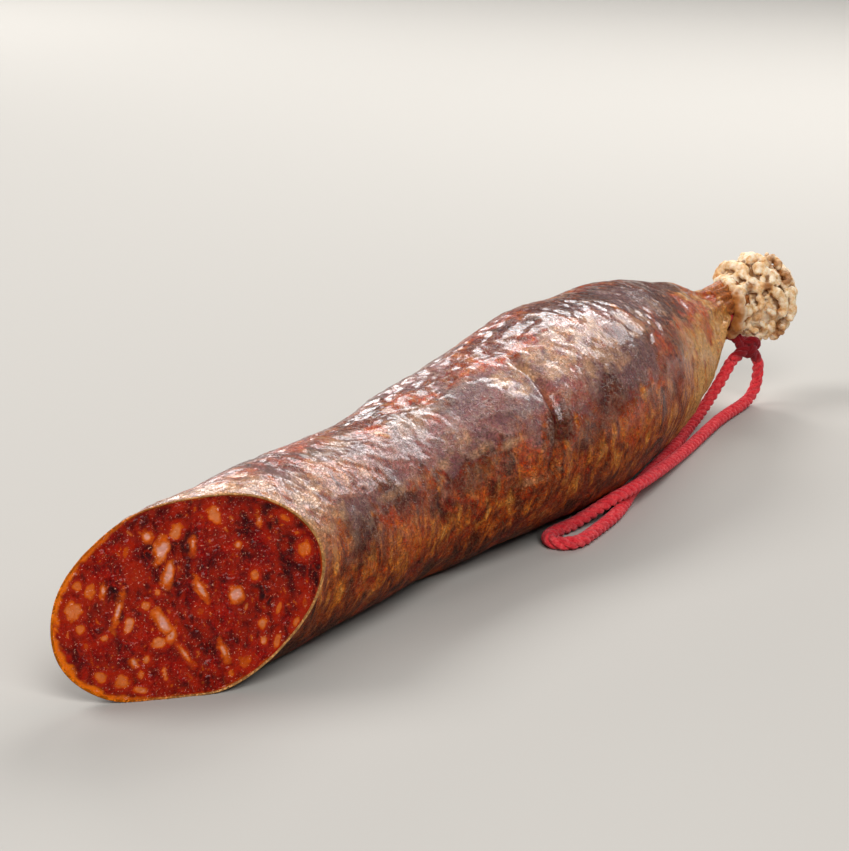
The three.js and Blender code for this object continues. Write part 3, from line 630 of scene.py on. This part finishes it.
def sliced_cured_meat():
    """Lean meat and fat cut with a knife: deep red grain, waxy fat that light goes into, and a wet film"""
    material, tree, shader = new_material("sliced_cured_meat", {
        "IOR": 1.42, "Specular IOR Level": 0.09, "Coat Weight": 0.14, "Coat Roughness": 0.06,
        "Subsurface Weight": 0.12, "Subsurface Scale": 1.2 * MM, "Subsurface Radius": (1.0, 0.25, 0.12),
    })
    names = ("fat", "orange", "halo", "deep", "band", "threads")
    shown = {name: add(tree, "Attribute", {"attribute_name": name}, {}, "Fac") for name in names}
    where = add(tree, "TexCoord", {}, {}, "Object")
    blend = {"data_type": "RGBA"}

    # Lean meat in minced lumps 5 mm across, with a grain of about 0.9 mm
    minced = {"Scale": per_mm(5), "Detail": 3, "Roughness": 0.6, "Distortion": 0.8}
    lumps = add(tree, "TexNoise", {}, {"Vector": where, **minced})
    grained = {"Scale": per_mm(0.9), "Detail": 5, "Roughness": 0.7, "Distortion": 1.2}
    grain = add(tree, "TexNoise", {}, {"Vector": where, **grained})
    lumps = add(tree, "Math", {"operation": "MULTIPLY"}, {0: lumps, 1: 0.62})
    both = add(tree, "Math", {"operation": "MULTIPLY_ADD"}, {0: grain, 1: 0.38, 2: lumps})
    # painted shade darkens the lean towards the top right
    both = add(tree, "Math", {"operation": "MULTIPLY_ADD"}, {0: shown["deep"], 1: -0.12, 2: both})
    colour = add(tree, "ValToRGB", {"stops": LEAN}, {"Fac": both})

    # Paprika stain round the fat, along the threads and in a band under the casing
    stains = (("halo", 0.35, "#b41a04"), ("threads", 0.5, "#c02404"), ("band", 1.0, "#f07408"))
    for layer, strength, hue in stains:
        share = add(tree, "Math", {"operation": "MULTIPLY"}, {0: shown[layer], 1: strength})
        colour = add(tree, "Mix", blend, {"Factor": share, 6: colour, 7: linear(hue)}, 2)

    # Fat, from pink-cream where it is clean to orange where the paprika has coloured it
    cloudy = add(tree, "TexNoise", {}, {"Vector": where, "Scale": per_mm(1.5), "Detail": 3, "Roughness": 0.6})
    cloudy = add(tree, "MapRange", {}, {"Value": cloudy, "To Min": -0.25, "To Max": 0.2})
    stain = add(tree, "Math", {"operation": "ADD"}, {0: shown["orange"], 1: cloudy})
    fat = add(tree, "ValToRGB", {"stops": FAT_STAIN}, {"Fac": stain})
    share = add(tree, "Math", {"operation": "MULTIPLY"}, {0: shown["fat"], 1: 0.9})
    colour = add(tree, "Mix", blend, {"Factor": share, 6: colour, 7: fat}, 2)

    # The wet film: the grain, and specks of fat that catch the light, drawn at 0.5 mm so that they show
    specks = add(tree, "TexNoise", {}, {"Vector": where, "Scale": per_mm(0.5), "Detail": 3, "Roughness": 0.7})
    shiny = add(tree, "MapRange", {}, {"Value": specks, "From Min": 0.62, "From Max": 0.69, "To Max": 0.85})
    colour = add(tree, "Mix", blend, {"Factor": shiny, 6: colour, 7: linear("#f2a98a")}, 2)
    tree.links.new(colour, shader.inputs["Base Color"])
    normal = add(tree, "Bump", {}, {"Strength": 1, "Distance": 0.6 * MM, "Height": grain})
    normal = add(tree, "Bump", {}, {"Strength": 1, "Distance": 0.25 * MM, "Height": specks, "Normal": normal})
    tree.links.new(normal, shader.inputs["Normal"])
    film = {"Value": specks, "From Min": 0.35, "From Max": 0.65, "To Min": 0.45, "To Max": 0.16}
    tree.links.new(add(tree, "MapRange", {}, film), shader.inputs["Roughness"])
    return material


cut_face = mesh_piece(
    "cut_face", face_points, grid_faces(FACE_RINGS + 1, FACE_AROUND), sliced_cured_meat(),
    fat=face_layer(fat), orange=face_layer(np.clip(orange, 0, 1)), halo=face_layer(halo),
    deep=face_layer(deep), band=face_layer(band), threads=face_layer(threads),
)
cut_face.data.flip_normals()
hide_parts("sausage")


# The gathered end: the spare casing past the tie, bunched up by hand and dried as it was, in soft rolls like
# a knot of dough. It is thicker and paler than the casing on the meat, with brown where it has scorched.

GATHER_MIDDLE = (20.4, 0, -0.6)
GATHER_CORE = (10.2, 9.8, 11.4)
CURL_REACH = (10.6, 10.9, 12.5)
CURL_COUNT = 17
CURL_BACK = 1.62  # the share of the core that the curls cover, out of 2
CURL_WIDTH = 0.29  # half the width of a curl's bend, as a share of the core
CURL_TURN = 2.55  # half of a curl's arc, in radians
CURL_TUCK_FROM, CURL_TUCK = 1.58, 0.45
CURL_ROLL = 1.9
CURL_THICK = 2.0
COLLAR_COUNT = 7  # rolls that hang back over the string
COLLAR_AT = 4.3
COLLAR_LEAN = 3.5
COLLAR_FACING = 205
COLLAR_RADIUS = 7.9
COLLAR_OVERLAP = 0.62
COLLAR_TUCK_FROM, COLLAR_TUCK_FORWARD, COLLAR_TUCK_INWARD = 0.55, 6, 1.5
COLLAR_THICK = 1.9
# Rolls on the side that shows: places to the right and up from the middle, in mm, then half their thickness
ROLLS = [
    ([(-10.5, 3.4), (-11.3, 6.0), (-10.0, 8.8), (-7.6, 9.5), (-4.8, 8.3), (-3.2, 7.2)], 1.75),
    ([(-7.0, 3.6), (-7.0, 5.8), (-5.1, 6.7), (-3.0, 5.2), (-0.8, 3.9), (1.6, 3.2), (3.6, 3.9), (4.1, 5.6),
      (2.7, 7.1), (0.5, 7.8), (-1.5, 7.0)], 1.3),
    ([(0.3, 5.8), (2.0, 4.8)], 0.9),
    ([(-3.4, 10.2), (-1.7, 11.5), (0.6, 11.4), (1.8, 10.0), (0.4, 8.7), (-1.8, 9.1)], 1.75),
    ([(-4.3, 3.8), (-3.4, 2.6), (-1.2, 2.1), (1.4, 2.1)], 1.3),
    ([(2.6, 2.6), (4.4, 1.7), (6.5, 0.0), (7.6, -2.1), (7.6, -4.3), (6.3, -6.0)], 1.6),
    ([(7.4, 1.4), (9.5, 0.0), (10.5, -2.6), (10.3, -5.4), (9.0, -7.0)], 1.5),
    ([(2.6, 8.0), (4.4, 6.9), (5.7, 5.2), (5.4, 3.4)], 1.1),
    ([(3.1, 11.5), (4.8, 11.8), (6.3, 10.3), (6.5, 8.6)], 1.2),
    ([(7.6, 7.3), (9.0, 6.4), (8.9, 4.3), (6.9, 3.0)], 1.1),
    ([(3.0, 12.9), (3.8, 13.3)], 0.7),
    ([(-10.0, 3.4), (-8.1, 1.7), (-6.8, 0.0), (-5.1, -1.8)], 1.25),
    ([(-10.6, 0.8), (-9.2, -1.3), (-7.7, -2.6)], 1.15),
    ([(-4.3, -2.2), (-2.5, -3.5), (-0.8, -4.8)], 1.0),
    ([(-2.6, -6.0), (-3.4, -8.2), (-1.7, -10.0), (0.3, -10.6)], 1.0),
    ([(-1.2, -1.2), (0.1, -0.4), (0.7, -2.4), (-0.3, -4.0)], 1.1),
    ([(2.4, -3.6), (3.1, -4.6), (5.3, -5.2)], 1.05),
    ([(0.5, -7.5), (2.0, -9.3), (1.4, -11.4), (-1.2, -11.9)], 1.0),
    ([(4.4, -7.3), (3.9, -9.7), (2.0, -12.6)], 1.1),
    ([(7.9, -8.2), (6.9, -10.3), (4.1, -12.6)], 1.35),
    ([(-4.3, -8.2), (-3.0, -10.8), (-0.8, -12.6)], 1.05),
    ([(-5.6, -4.2), (-5.2, -6.4), (-4.0, -7.6)], 1.0),
    ([(1.8, 0.2), (3.2, -0.4)], 0.8),
]
ROLLS_REACH = (12.2, 13.6, 11.3)  # to the right, up and towards the camera
SCORCHED = [  # places to the right and up, and their reach
    (4.9, 11.0, 2.6), (8.6, 5.6, 2.6), (-9.6, -0.8, 2.4), (6.6, -10.4, 2.4), (-2.6, 3.0, 1.8),
    (2.6, 3.0, 1.4),
]
ROLL_SIDES = 10
SKIN_VOXEL = 0.34

gather_at = neck_points([GATHER_MIDDLE])[0]
shown_right = direction(VIEW_HEADING - 90, 0)
shown_toward = -direction(VIEW_HEADING, VIEW_TILT)
shown_up = np.cross(shown_toward, shown_right)


def smooth_path(points, step):
    """Points a step apart along the smooth curve through these"""
    points = np.array(points, float)
    ends = np.concatenate([[2 * points[0] - points[1]], points, [2 * points[-1] - points[-2]]])
    found = []
    for near in zip(ends, ends[1:], ends[2:], ends[3:]):
        count = max(int(np.linalg.norm(near[2] - near[1]) / step), 1)
        knots = np.cumsum([0] + [max(np.linalg.norm(b - a), 1e-9) ** 0.5 for a, b in zip(near, near[1:])])
        t = np.linspace(knots[1], knots[2], count, endpoint=False)[:, None]
        for reach, first in ((1, 0), (2, 0), (1, 1)):  # three rounds of mixing neighbours
            near = [
                ((knots[i + reach] - t) * a + (t - knots[i]) * b) / (knots[i + reach] - knots[i])
                for i, (a, b) in enumerate(zip(near, near[1:]), first)
            ]
        found += near
    return np.concatenate(found + [points[-1:]])


def travelling_frames(path):
    """Two directions square to the path at each of its points, that don't spin along it"""
    ahead = np.gradient(path, axis=0)
    ahead /= np.linalg.norm(ahead, axis=1, keepdims=True)
    side = np.cross(ahead[0], [0, 0, 1] if abs(ahead[0][2]) < 0.9 else [1, 0, 0])
    sides = []
    for direction_ahead in ahead:
        side = side - direction_ahead * (side @ direction_ahead)
        side = side / np.linalg.norm(side)
        sides.append(side)
    sides = np.array(sides)
    return sides, np.cross(ahead, sides)


def tube(path, radii, sides):
    """Points and faces of a closed round bar along a path, with a rounded radius at each of its points"""
    left, up = travelling_frames(path)
    angles = tau * np.arange(sides) / sides
    ring = np.cos(angles)[None, :, None] * left[:, None] + np.sin(angles)[None, :, None] * up[:, None]
    around = path[:, None] + ring * np.asarray(radii, float)[:, None, None]
    return np.concatenate([path[:1], around.reshape(-1, 3), path[-1:]]), grid_faces(len(path), sides)


def join(parts):
    """Several closed meshes as one list of points and one of faces"""
    points, faces, start = [], [], 0
    for part_points, part_faces in parts:
        points.append(part_points)
        faces += [tuple(i + start for i in face) for face in part_faces]
        start += len(part_points)
    return np.concatenate(points), faces


def roll(path, thick):
    """A roll of casing with round ends"""
    path = smooth_path(path, 0.5)
    length = np.concatenate([[0], np.cumsum(np.linalg.norm(np.diff(path, axis=0), axis=1))])
    from_end = np.minimum(length, length[-1] - length)
    lumpy = 1 + 0.1 * np.sin(length * 1.7 + thick * 9)
    rounded = np.sqrt(np.clip(1 - (1 - np.clip(from_end / thick, 0.05, 1)) ** 2, 0.02, 1))
    return tube(path, thick * lumpy * rounded, ROLL_SIDES)


rolls = []
core = bmesh.new()
bmesh.ops.create_icosphere(core, subdivisions=4, radius=1)
rolls.append((
    neck_points(np.array([v.co for v in core.verts]) * GATHER_CORE + GATHER_MIDDLE),
    [tuple(v.index for v in f.verts) for f in core.faces],
))
core.free()
for path, thick in ROLLS:
    right, up = np.array(path).T[:, :, None]
    bulge = np.sqrt(np.clip(1 - (right / ROLLS_REACH[0]) ** 2 - (up / ROLLS_REACH[1]) ** 2, 0, 1))
    path = gather_at + right * shown_right + up * shown_up + ROLLS_REACH[2] * bulge * shown_toward
    rolls.append(roll(path, thick))
for number in range(CURL_COUNT):
    along = 1 - ((number + 0.5) * CURL_BACK) / CURL_COUNT
    turn = number * pi * (3 - sqrt(5))
    facing = Vector((along, sqrt(1 - along * along) * cos(turn), sqrt(1 - along * along) * sin(turn)))
    if np.array(neck_frame.to_3x3() @ facing) @ shown_toward > 0.2:
        continue
    side = Vector((0, 0, 1)).cross(facing).normalized()
    up = facing.cross(side)
    wide = CURL_WIDTH * (1 + 0.25 * sin(number * 2.1 + 0.7))
    path = []
    for bend in np.linspace(-CURL_TURN, CURL_TURN, 9):
        spin = bend + number * CURL_ROLL
        point = (facing + side * wide * cos(spin) + up * wide * sin(spin)).normalized()
        point *= 1 - CURL_TUCK * float(smooth(abs(bend), CURL_TUCK_FROM, CURL_TURN))
        path.append(np.array(point) * CURL_REACH + GATHER_MIDDLE)
    rolls.append(roll(neck_points(path), CURL_THICK))
for number in range(COLLAR_COUNT):
    path = []
    for share in np.linspace(-1, 1, 9):
        tuck = float(smooth(abs(share), COLLAR_TUCK_FROM, 1))
        turn = tau * (number + COLLAR_OVERLAP * share) / COLLAR_COUNT
        radius = COLLAR_RADIUS + 0.5 * sin(number * 2.3 + 0.7) - COLLAR_TUCK_INWARD * tuck
        leaning = COLLAR_LEAN * (1 - cos(turn - radians(COLLAR_FACING)))
        place = COLLAR_AT + leaning + 0.5 * sin(number * 1.7 + 0.7) + COLLAR_TUCK_FORWARD * tuck
        path.append((place, radius * cos(turn), radius * sin(turn)))
    rolls.append(roll(neck_points(path), COLLAR_THICK))


def remeshed(points, faces, voxel):
    """These closed meshes as one skin: its points, faces and normals"""
    mesh = bpy.data.meshes.new("rolls")
    mesh.from_pydata([tuple(p) for p in points], [], faces)
    rough = bpy.data.objects.new("rolls", mesh)
    bpy.context.collection.objects.link(rough)
    shrink = rough.modifiers.new("skin", "REMESH")
    shrink.mode = "VOXEL"
    shrink.voxel_size = voxel
    rounding = rough.modifiers.new("rounding", "SMOOTH")
    rounding.factor = 0.5
    rounding.iterations = 1
    made = rough.evaluated_get(bpy.context.evaluated_depsgraph_get()).to_mesh()
    found = np.array([v.co for v in made.vertices]), [tuple(p.vertices) for p in made.polygons]
    normals = np.array([v.normal for v in made.vertices])
    bpy.data.objects.remove(rough)
    return (*found, normals)


HOLLOW_REACH = 20  # rounds of smoothing that a point is compared with


def hollows(points, faces, normals):
    """How deep each point lies below its neighbours for some way round, in mm"""
    corners = np.array(faces)
    ends = np.concatenate([corners, corners]).reshape(-1)
    others = np.concatenate([np.roll(corners, -1, axis=1), np.roll(corners, 1, axis=1)]).reshape(-1)
    count = np.bincount(ends, minlength=len(points))[:, None]
    spread = points
    for _ in range(HOLLOW_REACH):
        total = np.stack([np.bincount(ends, spread[others, k], len(points)) for k in range(3)], axis=1)
        spread = total / count
    return ((spread - points) * normals).sum(axis=1)


skin, skin_faces, skin_normals = remeshed(*join(rolls), SKIN_VOXEL)
crumple = ridges(skin + 15, 1.9, 1.5)
lumps = sample(skin, 3.2, 3)
skin = skin + skin_normals * (0.22 * (crumple - 0.5) + 0.25 * lumps)[:, None]
from_middle = skin - gather_at
out = np.linalg.norm((from_middle @ np.array(neck_frame.to_3x3())) / CURL_REACH, axis=1)
# painted shade: brown down in the hollows between the rolls
hidden = smooth(hollows(skin, skin_faces, skin_normals), -0.04, 0.2)
right_of, above = from_middle @ shown_right, from_middle @ shown_up
past_neck = from_middle @ neck_aim + GATHER_MIDDLE[0]
at_neck = 1 - smooth(past_neck + 2 * lumps, 3, 8)
scorch = np.zeros(len(skin))
for u, v, reach in SCORCHED:
    away = np.hypot(right_of - u, above - v) / reach
    scorch = np.maximum(scorch, 1 - smooth(away + 0.6 * lumps, 0.4, 1.2))
skin = skin + skin_normals * (0.9 * scorch * sample(skin, 1.3, 3))[:, None]


DRY_CREAM = [(0.3, "#c4844a"), (0.44, "#e8bd88"), (0.62, "#fae8cc")]


def bunched_dry_casing():
    """Casing dried in thick folds: matt and chalky, cream where it stands out, with painted shade in brown
    down in the folds
    """
    material, tree, shader = new_material("bunched_dry_casing", {
        "Roughness": 0.7, "IOR": 1.45, "Specular IOR Level": 0.3,
        "Subsurface Weight": 0.2, "Subsurface Scale": 1.2 * MM, "Subsurface Radius": (1.0, 0.6, 0.35),
    })
    where = add(tree, "TexCoord", {}, {}, "Object")
    spots = add(tree, "TexNoise", {}, {"Vector": where, "Scale": per_mm(2.2), "Detail": 4, "Roughness": 0.65})
    colour = add(tree, "ValToRGB", {"stops": DRY_CREAM}, {"Fac": spots})
    # painted shade in the hollows, real scorch marks, and the neck's colour
    stains = (("hidden", 0.8, "#84501f"), ("scorch", 0.85, "#9c5f28"), ("neck", 1.0, "#a8682e"))
    for name, strength, hue in stains:
        shown = add(tree, "Attribute", {"attribute_name": name}, {}, "Fac")
        share = add(tree, "Math", {"operation": "MULTIPLY"}, {0: shown, 1: strength})
        colour = add(tree, "Mix", {"data_type": "RGBA"}, {"Factor": share, 6: colour, 7: linear(hue)}, 2)
    tree.links.new(colour, shader.inputs["Base Color"])
    chalk = {"Scale": per_mm(0.8), "Detail": 4, "Roughness": 0.7, "Distortion": 0.8}
    fine = add(tree, "TexNoise", {}, {"Vector": where, **chalk})
    normal = add(tree, "Bump", {}, {"Strength": 0.8, "Distance": 0.35 * MM, "Height": fine})
    tree.links.new(normal, shader.inputs["Normal"])
    return material


gathered_end = mesh_piece(
    "gathered_end", skin, skin_faces, bunched_dry_casing(), hidden=hidden, scorch=scorch, neck=at_neck
)
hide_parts("sausage")


# The tie: red cotton string of three strands, wound twice round the neck, pulled tight and knotted under it.

STRING_RADIUS = 1.85
WRAP_RADIUS = 1.5  # pulled tight where it goes round the neck
WRAP_RING = 4.9
WRAP_AT = (3.1, 5.9)
WRAP_TURNS = 1.94
WRAP_START = -0.55 * pi
KNOT = np.array([282.2, -7.8, 19])
KNOT_SIZE = 0.95
LAY = 8.0  # the length in which a strand goes once round the string
STRAND_SHARE = 0.54  # a strand's radius, out of the string's
STRAND_SIDES = 8
TIE_STEP = 0.45
LOOP_ROUTE = [  # the loop's middle line, as in the part's source
    (285.9, -9.7, 14.2), (286.9, -9.3, 11.6), (287.6, -8.9, 8.6), (287, -8.5, 5.2), (284, -8.2, 2.7),
    (277, -8.7, 1.95), (267.5, -9.3, 1.95), (257, -10.3, 1.95), (246, -12, 1.95), (234.5, -13.9, 2),
    (223.5, -15.9, 2.4), (212, -18.1, 3.1), (201, -20.4, 4), (190.5, -22.4, 4.9), (180, -23.9, 5.6),
    (170.5, -24.5, 5.9), (162, -23.8, 5.5), (154, -21.8, 3.6), (146.5, -20, 2.1), (139.8, -19, 1.95),
    (134.2, -19.3, 1.95), (131, -22.2, 1.95), (131.6, -26.2, 1.95), (135.6, -28.1, 1.95), (143, -27.7, 1.95),
    (151, -26.9, 1.95), (160, -25.7, 1.95), (169, -23.6, 1.95), (178, -21, 1.95), (187, -18.8, 1.95),
    (199, -16.3, 1.95), (213, -13.6, 1.95), (227, -10.7, 1.95), (239, -7.7, 1.95), (247.5, -5.8, 2.2),
    (255, -4.7, 3.3), (261.5, -4.3, 5.5), (267, -4.5, 8.6), (271, -5.2, 12), (274.3, -6.1, 15.7),
]


def laid_string(route, radius, step=0.6):
    """Three strands laid round each other along a route: points, faces, places along and round a strand"""
    path = smooth_path(route, step)
    left, up = travelling_frames(path)
    length = np.concatenate([[0], np.cumsum(np.linalg.norm(np.diff(path, axis=0), axis=1))])
    strand = STRAND_SHARE * radius
    parts, lengthwise, roundwise = [], [], []
    for number in range(3):
        spin = tau * (length / LAY * STRING_RADIUS / radius + number / 3)
        middle = path + (radius - strand) * (np.cos(spin)[:, None] * left + np.sin(spin)[:, None] * up)
        swell = strand * (1 + 0.05 * np.sin(length * 0.9 + number * 2))
        swell[0] *= 0.6
        swell[-1] *= 0.6
        points, faces = tube(middle, swell, STRAND_SIDES)
        parts.append((points, faces))
        lengthwise.append(np.concatenate([[0], np.repeat(length, STRAND_SIDES), length[-1:]]) + 50 * number)
        ring = np.arange(STRAND_SIDES) / STRAND_SIDES
        roundwise.append(np.concatenate([[0], np.tile(ring, len(path)), [0]]))
    points, faces = join(parts)
    return points, faces, np.concatenate(lengthwise), np.concatenate(roundwise)


RED_YARN = [(0.3, "#b81824"), (0.5, "#e0353d"), (0.7, "#f26564")]


def red_cotton_string():
    """Dyed cotton yarn laid in three strands: matt and soft, with fibres that run along each strand"""
    material, tree, shader = new_material("red_cotton_string", {
        "Roughness": 0.9, "IOR": 1.5, "Specular IOR Level": 0.2,
        "Sheen Weight": 0.4, "Sheen Roughness": 0.5, "Sheen Tint": linear("#ff9aa4"),
    })
    names = ("lengthwise", "roundwise", "soaked")
    shown = {name: add(tree, "Attribute", {"attribute_name": name}, {}, "Fac") for name in names}
    where = add(tree, "TexCoord", {}, {}, "Object")
    fluff = add(tree, "TexNoise", {}, {"Vector": where, "Scale": per_mm(1.2), "Detail": 5, "Roughness": 0.7})
    colour = add(tree, "ValToRGB", {"stops": RED_YARN}, {"Fac": fluff})
    # painted shade: the string darker round the knot, in the shadow under the gathered end
    soaked = {"Factor": shown["soaked"], 6: colour, 7: linear("#74040c")}
    tree.links.new(add(tree, "Mix", {"data_type": "RGBA"}, soaked, 2), shader.inputs["Base Color"])

    # Fibres that wind slowly round their strand, drawn coarser than the real ones so that they show
    slant = add(tree, "Math", {"operation": "MULTIPLY"}, {0: shown["roundwise"], 1: tau * 9})
    slant = add(tree, "Math", {"operation": "MULTIPLY_ADD"}, {0: shown["lengthwise"], 1: 1.6, 2: slant})
    fibres = add(tree, "Math", {"operation": "SINE"}, {0: slant})
    fibres = add(tree, "Math", {"operation": "MULTIPLY_ADD"}, {0: fibres, 1: 0.3, 2: fluff})
    normal = add(tree, "Bump", {}, {"Strength": 0.6, "Distance": 0.2 * MM, "Height": fibres})
    tree.links.new(normal, shader.inputs["Normal"])
    return material


string_look = red_cotton_string()
loop_route = smooth_path(LOOP_ROUTE, 1.0)
wraps = []
for t in np.linspace(0, 1, 60):
    turn = WRAP_START - t * WRAP_TURNS * tau
    wraps.append((WRAP_AT[0] + (WRAP_AT[1] - WRAP_AT[0]) * t, WRAP_RING * cos(turn), WRAP_RING * sin(turn)))
wraps = neck_points(wraps)
trefoil = []
for t in np.linspace(0, tau, 40, endpoint=False):
    right, up, toward = sin(t) + 2 * sin(2 * t), 0.8 * (cos(t) - 2 * cos(2 * t)), -1.1 * sin(3 * t)
    trefoil.append(KNOT + KNOT_SIZE * (right * shown_right + up * shown_up + toward * shown_toward))
tie_parts = [
    laid_string([KNOT, *wraps[::2], KNOT], WRAP_RADIUS, TIE_STEP),
    laid_string(trefoil + trefoil[:2], WRAP_RADIUS, TIE_STEP),
    *[laid_string([KNOT, (end + KNOT) / 2, end], STRING_RADIUS) for end in (loop_route[0], loop_route[-1])],
]
tie_points, tie_faces = join([part[:2] for part in tie_parts])
from_knot = np.linalg.norm(tie_points - KNOT - [0, 0, 3], axis=1)
tie = mesh_piece(
    "string_tie_knotted", tie_points, tie_faces, string_look,
    lengthwise=np.concatenate([part[2] for part in tie_parts]),
    roundwise=np.concatenate([part[3] for part in tie_parts]),
    # painted shade round the knot
    soaked=0.95 * (1 - smooth(from_knot, 7, 10.5)),
)
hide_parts("string_tie")


# The loop to hang it by: the same string, left long, out of the knot and back into it. It lies on the ground
# along the underside, one leg over the other.

loop_points, loop_faces, lengthwise, roundwise = laid_string(LOOP_ROUTE, STRING_RADIUS)
loop_points[:, 2] = np.maximum(loop_points[:, 2], 0.06)
loop = mesh_piece(
    "string_loop_laid", loop_points, loop_faces, string_look, lengthwise=lengthwise, roundwise=roundwise
)
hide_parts("string_loop")


# A plain pale floor and soft studio light: soft boxes above and behind, whose glare runs along the top as in
# the photograph, weaker ones from the left and the front, and an even pale surround.

SOFT_BOXES = [  # azimuth and elevation, distance and width in metres, and power in watts
    ("key", -6, 34, 1.0, 0.5, 4.5),
    ("behind", 20, 36, 1.2, 0.5, 5.6),
    ("rim", 50, 18, 1.2, 0.4, 3.4),
    ("left", 110, 50, 1.0, 0.5, 6),
    ("front", 218, 42, 1.2, 0.6, 9.6),
    ("glint", 240, 34, 1.0, 0.16, 1.0),
]

bpy.ops.mesh.primitive_plane_add(size=6, location=(0, 0, 0))
floor = bpy.context.object
floor.name = "floor"
floor_look, _, _ = new_material(
    "pale_floor", {"Base Color": linear("#b2aea8"), "Roughness": 1, "Specular IOR Level": 0.1}
)
floor.data.materials.append(floor_look)

for name, azimuth, elevation, distance, width, power in SOFT_BOXES:
    light = bpy.data.objects.new(name, bpy.data.lights.new(name, "AREA"))
    light.data.shape = "DISK"
    light.data.size = width
    light.data.energy = power
    away = Vector(direction(azimuth, elevation))
    light.location = away * distance
    light.rotation_euler = away.to_track_quat("Z", "Y").to_euler()
    bpy.context.collection.objects.link(light)

world = bpy.data.worlds.new("surround")
world.use_nodes = True
surround = world.node_tree.nodes["Background"].inputs
surround["Color"].default_value = linear("#dfe3e8")
surround["Strength"].default_value = 0.11
bpy.context.scene.world = world
bpy.context.scene.view_settings.view_transform = "Standard"
